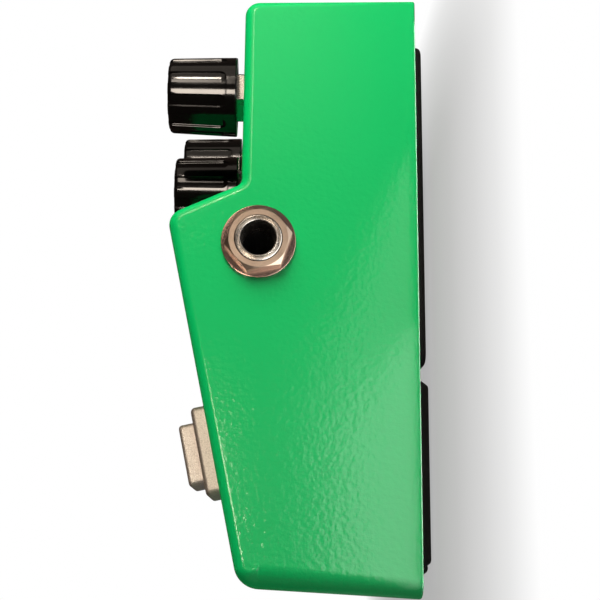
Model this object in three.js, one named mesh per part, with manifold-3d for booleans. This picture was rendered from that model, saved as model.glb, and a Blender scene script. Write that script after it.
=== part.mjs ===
// A guitar effects pedal: a wedge-shaped die-cast box with three knobs behind a raised ridge, a sprung
// footswitch on the sloping front, a 6.35 mm jack in each side, a DC socket in the rear wall, and a steel
// base plate that carries a rubber mat and a hinged battery door.
//
// Millimetres, +Z up. The origin lies on the floor, midway along the length and the width.
// +Y points away from the player, and +X to the player's right, which is the input side.

import * as THREE from "three";
import { mergeVertices } from "three/addons/utils/BufferGeometryUtils.js";
import Module from "manifold-3d";

const wasm = await Module();
wasm.setup();

// ---------------------------------------------------------------- driving dimensions

const LENGTH = 124; // housing, along Y at the rim
const WIDTH = 70; // housing, along X
const WALL = 2.5;
const RIM = 2.8; // the rim's height over the floor: the mat and the door stand proud by this much
const PANEL_HEIGHT = 36.1; // knob panel, over the rim
const FRONT_HEIGHT = 35; // top of the front wall, over the rim
const FRONT_LEAN = 1.75; // how far the front wall leans back over FRONT_HEIGHT
const REAR_LEAN = 0.7; // how far the rear wall leans forward over PANEL_HEIGHT
const RIDGE = { y: 13, height: 51.1, footY: 20 };
const CORNER = { rearTop: 3.2, foot: 1.5, ridge: 3.4, frontTop: 5 };
// Rounding of the upright edges: at the rim, and what it gains by the height of the panel.
const UPRIGHT = { front: [3.8, 1.2], rear: [1, 1.4] };
const EDGE = 2.1; // rounding of the long edges between the top faces and the sides

const PLATE = { thickness: 1.2, recess: 0.15, gap: 0.3, lip: 2, corner: 2.8 };
const PLATE_BOTTOM = RIM + PLATE.recess;
const PLATE_TOP = PLATE_BOTTOM + PLATE.thickness;
const SCREW_PLACES = { front: [28.5, -12], rear: [28.5, 56] }; // right-hand pair; the left mirrors it
const OPENING = { x: 25.4, front: -53.2, rear: -24.4 }; // battery opening in the base plate

const MAT = { x: 25, front: -15.7, rear: 56.7, corner: 3, edge: 1 };
const DOOR = { x: 29.5, front: -57, rear: -18.6, corner: 2.5, chamfer: 1.5, bottom: 0.2, top: 2.65 };
const HINGE = { y: -56.3, z: 1.6, barrel: 1.2, pin: 0.5, inner: 14, outer: 20, end: 24.3 };

const KNOB = { spread: 23.5, sideY: 43.35, middleY: 29.35, base: 8.55, top: 8.0, height: 14.7, gap: 1.6 };
const FLUTES = 10;
const SHAFT = 3;
const JACK = { y: 7.2, height: 32.4, barrel: 4.7, bore: 3.3, washer: 7.55, nutAcross: 12, half: 7.5 };
const DC = { x: -8.5, height: 24.4, collar: 4.4, bore: 2.9 };
const LED = { y: 53, lens: 2.5, bezel: 4.2 };

const SWITCH = { y: -32.35, width: 26, length: 19.3, rise: 3.5 };
const CAP = { width: 20.5, length: 13.5, rise: 3.3, sunk: 0.5 };
const STEM = 3;

const BOARD = { bottom: 20.2, top: 21.8, x: 29.5, rearX: 24, front: -8, step: 49.5, rear: 57 };
const BATTERY = { length: 46.2, width: 26.5, height: 17.5, x: -25.2, front: -52.05, bottom: 4.9 };

const PANEL = RIM + PANEL_HEIGHT;
const PANEL_UNDER = PANEL - WALL;
const SLOPE = Math.atan2(RIDGE.height - FRONT_HEIGHT, RIDGE.y + LENGTH / 2 - FRONT_LEAN);
const JACK_Z = RIM + JACK.height;
const FIT = 0.05; // gap left between pieces that touch

// ---------------------------------------------------------------- materials

const material = (color, roughness, metalness = 0) =>
  new THREE.MeshStandardMaterial({ color, roughness, metalness });

const GREEN = material(0x1fbf68, 0.35);
const BLACK_GLOSS = material(0x0d0d0e, 0.2);
const BLACK_PLASTIC = material(0x161616, 0.6);
const RUBBER = material(0x1b1a19, 0.85);
const NICKEL = material(0xc9bfb6, 0.25, 1);
const STEEL = material(0x9a9b9d, 0.4, 1);
const CAST = material(0xb3a392, 0.55, 0.8);
const BRASS = material(0xc4a255, 0.35, 1);
const FIBREGLASS = material(0x2d5a36, 0.6);
const RED_LENS = material(0xc01818, 0.15);
const BATTERY_WRAP = material(0x8c8f96, 0.4, 0.6);
const RED_WIRE = material(0xb3201c, 0.5);
const BLACK_WIRE = material(0x151515, 0.5);
const WHITE_WIRE = material(0xd9d6cc, 0.5);

// ---------------------------------------------------------------- solids

const fromArrays = (vertProperties, triVerts) =>
  new wasm.Manifold(new wasm.Mesh({ numProp: 3, vertProperties, triVerts }));

function solid(geometry) {
  const bare = geometry.index ? geometry.toNonIndexed() : geometry.clone();
  bare.deleteAttribute("normal");
  bare.deleteAttribute("uv");
  const merged = mergeVertices(bare, 1e-4);
  const triVerts = new Uint32Array(merged.index.array);
  const places = merged.attributes.position.array;
  const made = fromArrays(places, triVerts);
  if (made.volume() > 0) return made;
  for (let i = 0; i < triVerts.length; i += 3)
    [triVerts[i + 1], triVerts[i + 2]] = [triVerts[i + 2], triVerts[i + 1]];
  return fromArrays(places, triVerts);
}

// The same solid with each of its points moved by change.
function reshaped(body, change) {
  const { vertProperties, triVerts } = body.getMesh();
  const point = new THREE.Vector3();
  for (let i = 0; i < vertProperties.length; i += 3) {
    point.fromArray(vertProperties, i);
    change(point);
    point.toArray(vertProperties, i);
  }
  return fromArrays(vertProperties, triVerts);
}

function mesh(name, body, look) {
  const { vertProperties, triVerts } = body.getMesh();
  const geometry = new THREE.BufferGeometry();
  geometry.setAttribute("position", new THREE.BufferAttribute(vertProperties, 3));
  geometry.setIndex(new THREE.BufferAttribute(triVerts, 1));
  geometry.computeVertexNormals();
  const made = new THREE.Mesh(geometry, look);
  made.name = name;
  return made;
}

const join = (first, ...others) => others.reduce((sum, next) => sum.add(next), first);
const cut = (first, ...others) => others.reduce((rest, next) => rest.subtract(next), first);

function box(x0, x1, y0, y1, z0, z1) {
  const geometry = new THREE.BoxGeometry(x1 - x0, y1 - y0, z1 - z0);
  return solid(geometry.translate((x0 + x1) / 2, (y0 + y1) / 2, (z0 + z1) / 2));
}

// A cylinder or cone along Z from z0 to z1.
function post(radius, z0, z1, [x, y] = [0, 0], sides = 24, topRadius = radius) {
  const geometry = new THREE.CylinderGeometry(topRadius, radius, z1 - z0, sides);
  return solid(geometry.rotateX(Math.PI / 2).translate(x, y, (z0 + z1) / 2));
}

// A cylinder along Y, centred on [x, z].
function alongY(radius, y0, y1, [x, z] = [0, 0], sides = 24) {
  const geometry = new THREE.CylinderGeometry(radius, radius, y1 - y0, sides);
  return solid(geometry.translate(x, (y0 + y1) / 2, z));
}

// A cylinder along X, centred on [y, z].
function barrel(radius, x0, x1, [y, z] = [0, 0], sides = 24, turn = 0) {
  const geometry = new THREE.CylinderGeometry(radius, radius, x1 - x0, sides);
  return solid(geometry.rotateY(turn).rotateZ(Math.PI / 2).translate((x0 + x1) / 2, y, z));
}

// The points of an outline whose corners [x, y, radius] are rounded by arcs.
function rounded(corners, steps = 4) {
  const points = [];
  corners.forEach(([x, y, radius = 0], i) => {
    const here = new THREE.Vector2(x, y);
    if (!radius) {
      points.push(here);
      return;
    }
    const [bx, by] = corners.at(i - 1);
    const [ax, ay] = corners[(i + 1) % corners.length];
    const back = new THREE.Vector2(bx - x, by - y).normalize();
    const ahead = new THREE.Vector2(ax - x, ay - y).normalize();
    const half = Math.acos(back.dot(ahead)) / 2;
    const centre = back.clone().add(ahead).setLength(radius / Math.sin(half)).add(here);
    const start = here.clone().addScaledVector(back, radius / Math.tan(half)).sub(centre);
    const end = here.clone().addScaledVector(ahead, radius / Math.tan(half)).sub(centre);
    const sweep = Math.atan2(start.cross(end), start.dot(end));
    for (let k = 0; k <= steps; k++)
      points.push(start.clone().rotateAround(new THREE.Vector2(), (sweep * k) / steps).add(centre));
  });
  return points;
}

const rectangle = (x0, x1, y0, y1, radius) => [
  [x0, y0, radius],
  [x1, y0, radius],
  [x1, y1, radius],
  [x0, y1, radius],
];

// An outline in X and Y, drawn up from z0 to z1.
function slab(points, z0, z1) {
  const options = { depth: z1 - z0, bevelEnabled: false };
  return solid(new THREE.ExtrudeGeometry(new THREE.Shape(points), options).translate(0, 0, z0));
}

// An outline in Y and Z, drawn along X from -x to x about middle, with its long edges rounded by edge.
const ACROSS = new THREE.Matrix4().makeBasis(
  new THREE.Vector3(0, 1, 0),
  new THREE.Vector3(0, 0, 1),
  new THREE.Vector3(1, 0, 0),
);
function prism(points, x, edge = 0, middle = 0) {
  const options = { depth: 2 * (x - edge), bevelEnabled: edge > 0 };
  Object.assign(options, { bevelThickness: edge, bevelSize: edge, bevelOffset: -edge });
  options.bevelSegments = 3;
  const geometry = new THREE.ExtrudeGeometry(new THREE.Shape(points), options);
  return solid(geometry.translate(0, 0, middle + edge - x).applyMatrix4(ACROSS));
}

// A round wire through the given points.
function wire(radius, places, steps = 14, sides = 6) {
  const path = new THREE.CatmullRomCurve3(places.map((p) => new THREE.Vector3(...p)));
  const ring = new THREE.Shape();
  ring.absarc(0, 0, radius, 0, 2 * Math.PI, false);
  const shape = new THREE.Shape(ring.getSpacedPoints(sides).slice(0, sides));
  return solid(new THREE.ExtrudeGeometry(shape, { steps, extrudePath: path }));
}

const hexagon = (across) => across / Math.sqrt(3);
const moved = (body, matrix) => reshaped(body, (point) => point.applyMatrix4(matrix));

// The footswitch's own frame: its origin on the sloping face, +Z straight out of it, +Y up the slope.
const switchZ = RIM + FRONT_HEIGHT + (SWITCH.y + LENGTH / 2 - FRONT_LEAN) * Math.tan(SLOPE);
const SWITCH_FRAME = new THREE.Matrix4()
  .makeTranslation(0, SWITCH.y, switchZ)
  .multiply(new THREE.Matrix4().makeRotationX(SLOPE));

// ---------------------------------------------------------------- housing

// The side outline, with every wall moved inwards by inset.
function sideOutline(inset) {
  const front = -LENGTH / 2;
  const rear = LENGTH / 2;
  const below = -10; // runs on past the rim, where it is cut off level
  const corners = [
    [front + (below * FRONT_LEAN) / FRONT_HEIGHT, below, 0],
    [rear - (below * REAR_LEAN) / PANEL_HEIGHT, below, 0],
    [rear - REAR_LEAN, PANEL_HEIGHT, CORNER.rearTop - inset],
    [RIDGE.footY, PANEL_HEIGHT, CORNER.foot + inset],
    [RIDGE.y, RIDGE.height, CORNER.ridge - inset],
    [front + FRONT_LEAN, FRONT_HEIGHT, CORNER.frontTop - inset],
  ];
  const walls = corners.map(([x, y], i) => {
    const [nx, ny] = corners[(i + 1) % corners.length];
    const along = new THREE.Vector2(nx - x, ny - y).normalize();
    return { along, from: new THREE.Vector2(x - along.y * inset, y + along.x * inset) };
  });
  return corners.map(([, , radius], i) => {
    const one = walls.at(i - 1);
    const two = walls[i];
    const gap = two.from.clone().sub(one.from);
    const reach = gap.cross(two.along) / one.along.cross(two.along);
    const meet = one.from.clone().addScaledVector(one.along, reach);
    return [meet.x, meet.y + RIM, Math.max(radius, 0)];
  });
}

// The plan outline drawn upwards from the rim: its end walls lean inwards and its upright edges grow rounder.
// An inset one starts lower, so that a cavity cut with it opens through the rim.
function leaningPlan(inset) {
  const x = WIDTH / 2 - inset;
  const y = LENGTH / 2 - inset;
  const even = 3;
  const drawn = slab(rounded(rectangle(-x, x, -y, y, even)), RIM - inset, 64);
  return reshaped(drawn, (point) => {
    const atRear = point.y > 0;
    const share = (point.z - RIM) / PANEL_HEIGHT;
    const [atRim, gain] = atRear ? UPRIGHT.rear : UPRIGHT.front;
    const radius = Math.max(atRim + gain * share - inset, 0.3);
    const sideX = Math.sign(point.x);
    const sideY = Math.sign(point.y);
    const turn = Math.atan2(Math.abs(point.y) - (y - even), Math.abs(point.x) - (x - even));
    const lean = atRear ? REAR_LEAN : (FRONT_LEAN * PANEL_HEIGHT) / FRONT_HEIGHT;
    point.x = sideX * (x - radius + radius * Math.cos(turn));
    point.y = sideY * (y - radius + radius * Math.sin(turn) - lean * share);
  });
}

function screwPosts() {
  const height = { front: RIM + 15, rear: RIM + 22 };
  return Object.entries(SCREW_PLACES).flatMap(([end, [x, y]]) =>
    [x, -x].map((side) =>
      cut(
        post(4.2, PLATE_TOP + FIT, height[end], [side, y]),
        post(1.55, 0, height[end] - 3, [side, y], 12),
      ),
    ),
  );
}

const BOARD_POST = { x: 27, y: 24, radius: 3, hole: 1.3 };
function boardPosts() {
  return [BOARD_POST.x, -BOARD_POST.x].map((x) =>
    cut(
      post(BOARD_POST.radius, BOARD.top + FIT, PANEL_UNDER + 1, [x, BOARD_POST.y], 16),
      post(BOARD_POST.hole, 0, BOARD.top + 8, [x, BOARD_POST.y], 12),
    ),
  );
}

const KNOB_PLACES = {
  drive: [-KNOB.spread, KNOB.sideY],
  tone: [0, KNOB.middleY],
  level: [KNOB.spread, KNOB.sideY],
};
const BOSS = { x: 8.5, radius: 2 }; // the footswitch frame's two bosses

function housing() {
  const outer = prism(rounded(sideOutline(0)), WIDTH / 2, EDGE).intersect(leaningPlan(0));
  const inner = prism(rounded(sideOutline(WALL)), WIDTH / 2 - WALL).intersect(leaningPlan(WALL));
  const recess = { x: WIDTH / 2 - PLATE.lip, y: LENGTH / 2 - PLATE.lip };
  const seat = slab(
    rounded(rectangle(-recess.x, recess.x, -recess.y, recess.y, PLATE.corner)),
    RIM - 1,
    PLATE_TOP + FIT,
  );
  const hookSlots = [-1, 1].map((side) =>
    box(side * 16 - 5.3, side * 16 + 5.3, -61.3, -59, PLATE_BOTTOM - 0.1, PLATE_TOP + FIT),
  );
  const posts = join(...screwPosts(), ...boardPosts()).intersect(outer);
  const switchHoles = join(
    post(STEM + 0.5, -6, 4),
    ...[-1, 1].map((side) => post(BOSS.radius + 0.15, -6, 4, [side * BOSS.x, 0], 16)),
  );
  const socketHole = alongY(DC.collar + 0.2, 55, 65, [DC.x, RIM + DC.height]);
  return cut(
    join(cut(outer, inner), posts),
    seat,
    ...hookSlots,
    ...Object.values(KNOB_PLACES).map((place) => post(3.6, PANEL_UNDER - 2, PANEL + 2, place)),
    post(LED.lens + 0.8, PANEL_UNDER - 2, PANEL + 2, [0, LED.y]),
    barrel(JACK.barrel + 0.2, -WIDTH, WIDTH, [JACK.y, JACK_Z]),
    socketHole,
    moved(switchHoles, SWITCH_FRAME),
  );
}

// ---------------------------------------------------------------- base plate, mat and door

function basePlate() {
  const x = WIDTH / 2 - PLATE.lip - PLATE.gap;
  const y = LENGTH / 2 - PLATE.lip - PLATE.gap;
  const sheet = slab(rounded(rectangle(-x, x, -y, y, PLATE.corner)), PLATE_BOTTOM, PLATE_TOP);
  const hooks = [-1, 1].map((side) =>
    box(side * 16 - 5, side * 16 + 5, -61, -y + 0.5, PLATE_BOTTOM, PLATE_TOP),
  );
  const opening = rectangle(-OPENING.x, OPENING.x, OPENING.front, OPENING.rear, 1);
  const holes = Object.values(SCREW_PLACES).flatMap(([hx, hy]) =>
    [hx, -hx].map((side) => post(1.7, 0, 10, [side, hy], 12)),
  );
  return cut(
    join(sheet, ...hooks, ...hingeLoops()),
    slab(rounded(opening, 2), 0, 10),
    ...holes,
  );
}

// Two loops folded down from the plate, round the door's pin.
function hingeLoops() {
  const centre = [HINGE.y, HINGE.z];
  return [-1, 1].map((side) => {
    const x0 = Math.min(side * HINGE.inner, side * HINGE.outer);
    const x1 = x0 + HINGE.outer - HINGE.inner;
    const strap = box(x0, x1, HINGE.y - HINGE.barrel, HINGE.y, HINGE.z, PLATE_BOTTOM + 0.2);
    const loop = join(barrel(HINGE.barrel, x0, x1, centre, 20), strap);
    return cut(loop, barrel(HINGE.pin + 0.08, x0 - 1, x1 + 1, centre, 12));
  });
}

function hingePin() {
  return barrel(HINGE.pin, -HINGE.end, HINGE.end, [HINGE.y, HINGE.z], 12);
}

function baseScrew() {
  return join(
    post(2.6, -0.65, -FIT, [0, 0], 16),
    post(1.5, -0.6, 10, [0, 0], 12),
  );
}

function rearMat() {
  const corners = rectangle(-MAT.x, MAT.x, MAT.front, MAT.rear, MAT.corner);
  const edge = MAT.edge;
  const top = PLATE_BOTTOM - FIT;
  const geometry = new THREE.ExtrudeGeometry(new THREE.Shape(rounded(corners)), {
    depth: 4,
    bevelThickness: edge,
    bevelSize: edge,
    bevelOffset: -edge,
    bevelSegments: 3,
  });
  return cut(solid(geometry.translate(0, 0, edge)), box(-50, 50, -80, 80, top, 20));
}

// The door's body, wide at the plate and chamfered to a smaller outer face, with a locating rim
// that fits the opening, barrels for the hinge pin and a shallow recess for its pad.
function batteryDoor() {
  const rise = DOOR.top - DOOR.bottom;
  const corners = rectangle(-DOOR.x, DOOR.x, DOOR.front, DOOR.rear, DOOR.corner);
  const geometry = new THREE.ExtrudeGeometry(new THREE.Shape(rounded(corners, 3)), {
    depth: 4,
    bevelThickness: rise,
    bevelSize: DOOR.chamfer,
    bevelOffset: -DOOR.chamfer,
    bevelSegments: 1,
  });
  const body = cut(
    solid(geometry.translate(0, 0, DOOR.top)),
    box(-50, 50, -80, 80, DOOR.top, 20),
  );
  const rim = { x: OPENING.x - 0.4, front: OPENING.front + 0.4, rear: OPENING.rear - 0.4 };
  const wall = 1.2;
  const ridge = cut(
    box(-rim.x, rim.x, rim.front, rim.rear, DOOR.top - 0.5, PLATE_TOP),
    box(-rim.x + wall, rim.x - wall, rim.front + wall, rim.rear - wall, DOOR.top, 10),
  );
  const centre = [HINGE.y, HINGE.z];
  const end = HINGE.end;
  const barrels = [
    [-end, -HINGE.outer - 0.3],
    [-HINGE.inner + 0.3, HINGE.inner - 0.3],
    [HINGE.outer + 0.3, end],
  ].map(([x0, x1]) => barrel(HINGE.barrel, x0, x1, centre, 20));
  const swing = HINGE.barrel + 0.25;
  const clearances = [-1, 1].map((side) => {
    const x0 = Math.min(side * HINGE.inner, side * HINGE.outer) - 0.3;
    const x1 = x0 + HINGE.outer - HINGE.inner + 0.6;
    return join(
      barrel(swing, x0, x1, centre, 24),
      box(x0, x1, HINGE.y - 3, HINGE.y, 0, 4),
    );
  });
  const padRecess = slab(rounded(padOutline(0.1), 3), -1, 1);
  return cut(
    join(body, ridge, ...barrels),
    ...clearances,
    barrel(HINGE.pin + 0.08, -end - 1, end + 1, centre, 12),
    padRecess,
  );
}

const padOutline = (grow) => rectangle(-22 - grow, 22 + grow, -52 - grow, -24.4 + grow, 2);

function doorPad() {
  return slab(rounded(padOutline(0), 3), 0, 1 - FIT);
}

// ---------------------------------------------------------------- battery

const TRAY = { x: 27.4, front: -55, rear: -22.6, roof: 24.2, wall: 1.2 };

function batteryTray() {
  const { x, front, rear, roof, wall } = TRAY;
  return cut(
    box(-x, x, front, rear, PLATE_TOP + FIT, roof),
    box(-x + wall, x - wall, front + wall, rear - wall, 0, roof - wall),
    box(x - 3, x + 3, -41.5, -34.5, 18, 30), // notch that lets the leads out
  );
}

const TERMINALS = { y: 6.3, z: BATTERY.bottom + BATTERY.height / 2, reach: 2.2 };
const BATTERY_END = BATTERY.x + BATTERY.length;
const BATTERY_MIDDLE = BATTERY.front + BATTERY.width / 2;
const terminal = (side, radius, extra = 0) =>
  barrel(
    radius,
    BATTERY_END - 1,
    BATTERY_END + TERMINALS.reach + extra,
    [BATTERY_MIDDLE + side * TERMINALS.y, TERMINALS.z],
    12,
  );

function battery() {
  const outline = rectangle(
    BATTERY.front,
    BATTERY.front + BATTERY.width,
    BATTERY.bottom,
    BATTERY.bottom + BATTERY.height,
    2,
  );
  const half = BATTERY.length / 2;
  return join(
    prism(rounded(outline, 3), half, 0, BATTERY.x + half),
    terminal(-1, 2.9),
    terminal(1, 2.9),
  );
}

function batterySnap() {
  const x0 = BATTERY_END + 0.1;
  const cap = box(
    x0,
    x0 + 3.7,
    BATTERY_MIDDLE - 12.4,
    BATTERY_MIDDLE + 12.4,
    TERMINALS.z - 6.2,
    TERMINALS.z + 6.2,
  );
  return cut(cap, terminal(-1, 3.1, 0.2), terminal(1, 3.1, 0.2));
}

const SNAP_TOP = TERMINALS.z + 6.2;
function batteryLead(offset) {
  const y = -38 + offset;
  return wire(0.65, [
    [BATTERY_END + 2, y, SNAP_TOP + 0.75],
    [26.6, y, SNAP_TOP + 1.7],
    [29.3 - 0.9 * offset, y + 4, SNAP_TOP + 1.5],
    [29.3 - 0.9 * offset, -26, SNAP_TOP + 1.5],
    [27.3 - 1.2 * offset, -14, SNAP_TOP + 2.8],
    [24 - offset * 1.6, -7, BOARD.top + 2.4],
    [24 - offset * 1.6, -5, BOARD.top + 0.75],
  ]);
}

// ---------------------------------------------------------------- boards and components

function mainBoard() {
  const { x, rearX, front, step, rear, bottom, top } = BOARD;
  const outline = [
    [-x, front],
    [x, front],
    [x, step],
    [rearX, step],
    [rearX, rear],
    [-rearX, rear],
    [-rearX, step],
    [-x, step],
  ].map(([px, py]) => new THREE.Vector2(px, py));
  const holes = [BOARD_POST.x, -BOARD_POST.x].map((side) =>
    post(1.5, 0, 40, [side, BOARD_POST.y], 12),
  );
  return cut(slab(outline, bottom, top), ...holes);
}

function boardScrew() {
  return join(
    post(2.4, BOARD.bottom - 1.5, BOARD.bottom - FIT, [0, 0], 16),
    post(1.25, BOARD.bottom - 1, BOARD.bottom + 8, [0, 0], 12),
  );
}

// A chip on two rows of legs, standing on the board.
function opAmp() {
  const foot = BOARD.top + FIT;
  const legs = [-1, 1].flatMap((side) =>
    [-3.81, -1.27, 1.27, 3.81].map((y) =>
      box(side * 3.4 - 0.4, side * 3.4 + 0.4, y - 0.3, y + 0.3, foot, foot + 2),
    ),
  );
  return join(box(-3.2, 3.2, -4.8, 4.8, foot + 0.6, foot + 3.6), ...legs);
}

const canCapacitor = (radius, height) =>
  post(radius, BOARD.top + FIT, BOARD.top + height, [0, 0], 20);

// ---------------------------------------------------------------- pots and knobs

function potBody() {
  const bottom = PANEL_UNDER - 8.8;
  const can = post(8.2, bottom, PANEL_UNDER - FIT);
  const bushing = post(3.45, PANEL_UNDER - 1, PANEL + 3.2, [0, 0], 24);
  const pins = [-5, 0, 5].map((x) =>
    box(x - 0.5, x + 0.5, -6.4, -5.9, BOARD.top + FIT, bottom + 0.5),
  );
  const bore = post(SHAFT + 0.08, bottom + 2, PANEL + 10);
  return cut(join(can, bushing, ...pins), bore);
}

const POT_NUT_TURN = THREE.MathUtils.degToRad(3.6);
function potNut() {
  return cut(
    post(hexagon(10), PANEL + FIT, PANEL + 2, [0, 0], 6),
    post(3.55, PANEL - 1, PANEL + 4),
  );
}

function potShaft() {
  return post(SHAFT, PANEL_UNDER - 6.5, PANEL + KNOB.gap + 10.5);
}

// One turn round a knob: flat lands on the circle and shallow scallops between them.
function flutedOutline(radius) {
  const points = [];
  const pitch = (2 * Math.PI) / FLUTES;
  const halfFlute = 0.17; // radians
  const depth = 0.5;
  for (let i = 0; i < FLUTES; i++) {
    const middle = i * pitch;
    for (const t of [-1, -0.5, 0, 0.5, 1]) {
      const angle = middle + t * halfFlute;
      const r = radius - depth * (1 - t * t);
      points.push(new THREE.Vector2(r * Math.cos(angle), r * Math.sin(angle)));
    }
    for (const t of [0.33, 0.67]) {
      const angle = middle + halfFlute + t * (pitch - 2 * halfFlute);
      points.push(new THREE.Vector2(radius * Math.cos(angle), radius * Math.sin(angle)));
    }
  }
  return points;
}

function knob() {
  const bottom = PANEL + KNOB.gap;
  const skirt = 2.4;
  const column = join(
    slab(flutedOutline(KNOB.base), bottom + skirt, bottom + KNOB.height),
    post(KNOB.base, bottom, bottom + skirt, [0, 0], 40),
  );
  const tapered = reshaped(column, (point) => {
    const share = (point.z - bottom) / KNOB.height;
    const scale = 1 - share * (1 - KNOB.top / KNOB.base);
    point.multiply(new THREE.Vector3(scale, scale, 1));
  });
  return cut(
    tapered,
    post(6.4, bottom - 1, bottom + 2.8), // room for the nut
    post(SHAFT + 0.08, bottom, bottom + 11),
  );
}

// ---------------------------------------------------------------- jacks, DC socket and lamp

// Jack pieces are made on the X axis, pointing to +X, with the wall's outer face at WIDTH / 2.
const FACE = WIDTH / 2;
const SLOT = { x0: 8, x1: 29.4, half: 1.8 }; // opening over the contact spring
const SPRING_ROOT = { x: 27.5, z: 6.1 };

function jackBody() {
  const { half } = JACK;
  const inside = FACE - WALL - 0.1;
  return cut(
    box(5.5, inside, -half, half, -half, half),
    barrel(JACK.bore + 0.1, 0, FACE, [0, 0]),
    barrel(JACK.barrel + 0.05, inside - 2, FACE, [0, 0]),
    box(SLOT.x0, SLOT.x1 - 4, -SLOT.half, SLOT.half, 0, half + 1),
    box(SLOT.x0, SLOT.x1, -SLOT.half, SLOT.half, SPRING_ROOT.z - 0.5, SPRING_ROOT.z + 0.5),
  );
}

function jackSleeve() {
  return cut(
    barrel(JACK.barrel, FACE - WALL - 2, FACE + 3.4),
    barrel(JACK.bore, 0, FACE + 10, [0, 0]),
  );
}

function jackWasher() {
  return cut(
    barrel(JACK.washer, FACE + FIT, FACE + 0.8, [0, 0], 32),
    barrel(JACK.barrel + 0.2, 0, FACE + 10),
  );
}

const NUT_TURN = THREE.MathUtils.degToRad(11);
function jackNut() {
  return cut(
    barrel(hexagon(JACK.nutAcross), FACE + 0.85, FACE + 3, [0, 0], 6, NUT_TURN),
    barrel(JACK.barrel + 0.1, 0, FACE + 10),
  );
}

// A folded strip that presses on the plug's tip from above.
function contactSpring() {
  const { x, z } = SPRING_ROOT;
  const path = [
    [x + 1.6, z],
    [x - 5, z],
    [x - 12, z - 1.6],
    [x - 16, z - 3.4],
    [x - 18.6, z - 1.4],
  ];
  const thick = 0.4;
  const outline = [
    ...path.map(([px, pz]) => new THREE.Vector2(px, pz + thick / 2)),
    ...path.toReversed().map(([px, pz]) => new THREE.Vector2(px, pz - thick / 2)),
  ];
  const width = 3.2;
  const options = { depth: width, bevelEnabled: false };
  const geometry = new THREE.ExtrudeGeometry(new THREE.Shape(outline), options);
  return solid(geometry.rotateX(Math.PI / 2).translate(0, width / 2, 0));
}

// DC pieces are made on the Y axis, with the rear wall's outer face at DC_FACE.
const DC_FACE = LENGTH / 2 - (REAR_LEAN * DC.height) / PANEL_HEIGHT;

function dcBody() {
  const front = DC_FACE - WALL - 0.1;
  const floor = BOARD.top + FIT - RIM - DC.height;
  return cut(
    join(
      box(-4.5, 4.5, front - 13.8, front, floor, floor + 10.7),
      alongY(DC.collar, front - 1, DC_FACE - 0.1),
    ),
    alongY(DC.bore, front - 9, DC_FACE + 5),
    alongY(1.05, front - 12, DC_FACE + 5, [0, 0], 12),
  );
}

function dcPin() {
  return alongY(1, DC_FACE - WALL - 11.9, DC_FACE - 1.6, [0, 0], 12);
}

function ledLamp() {
  const { lens } = LED;
  const points = [[0, 0], [lens, 0], [lens, 6.2]];
  for (let k = 1; k <= 5; k++) {
    const angle = (k * Math.PI) / 10;
    points.push([lens * Math.cos(angle), 6.2 + lens * Math.sin(angle)]);
  }
  const profile = points.map(([r, z]) => new THREE.Vector2(Math.max(r, 0), z));
  profile[profile.length - 1].x = 0;
  const base = PANEL - 6;
  const dome = new THREE.LatheGeometry(profile, 20).rotateX(Math.PI / 2).translate(0, 0, base);
  const legs = [-1.27, 1.27].map((x) =>
    box(x - 0.25, x + 0.25, -0.25, 0.25, BOARD.top + FIT, base + 0.5),
  );
  return join(solid(dome), ...legs);
}

function ledBezel() {
  return cut(
    join(
      post(LED.lens + 0.7, PANEL - 5, PANEL + 0.5, [0, 0], 28),
      post(LED.bezel, PANEL + FIT, PANEL + 1.1, [0, 0], 28, LED.bezel - 0.5),
    ),
    post(LED.lens + 0.1, PANEL - 10, PANEL + 5, [0, 0], 20),
  );
}

// ---------------------------------------------------------------- footswitch, in its own frame

const tablet = (width, length, radius, z0, z1) =>
  slab(rounded(rectangle(-width / 2, width / 2, -length / 2, length / 2, radius), 3), z0, z1);

const CAP_BOTTOM = SWITCH.rise - CAP.sunk;
const CAP_TOP = SWITCH.rise + CAP.rise;
const STEM_END = -5.6;
const FLANGE = { top: -WALL - 0.15, thickness: 1 }; // the bracket's upper leaf

function switchFrame() {
  const floor = 0.9;
  const bosses = [-1, 1].map((side) =>
    cut(
      post(BOSS.radius, FLANGE.top + FIT, floor, [side * BOSS.x, 0], 16),
      post(1.05, -6, 0, [side * BOSS.x, 0], 12),
    ),
  );
  return cut(
    join(tablet(SWITCH.width, SWITCH.length, 1.2, FIT, SWITCH.rise), ...bosses),
    tablet(CAP.width + 0.6, CAP.length + 0.6, 1.1, floor, 10),
    post(STEM + 0.15, -6, 4),
    ...[-1, 1].map((side) => post(1.05, -6, 0, [side * BOSS.x, 0], 12)),
  );
}

function switchButton() {
  const springRoom = cut(post(5.2, 0, CAP_TOP - 1.3), post(STEM, -1, CAP_TOP));
  return cut(
    join(
      tablet(CAP.width, CAP.length, 0.8, CAP_BOTTOM, CAP_TOP),
      post(STEM, STEM_END, CAP_TOP - 1),
    ),
    springRoom,
    // the groove that holds the clip
    cut(post(STEM + 1, CLIP.bottom, CLIP.top), post(2.2, -10, 0)),
  );
}

const CLIP = { top: FLANGE.top - FLANGE.thickness - 0.1, bottom: FLANGE.top - FLANGE.thickness - 0.75 };
function stemClip() {
  return cut(
    post(4.5, CLIP.bottom + FIT, CLIP.top - FIT, [0, 0], 20),
    post(2.25, -10, 0, [0, 0], 16),
    box(-2.1, 2.1, 0, 8, -10, 0),
  );
}

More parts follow.
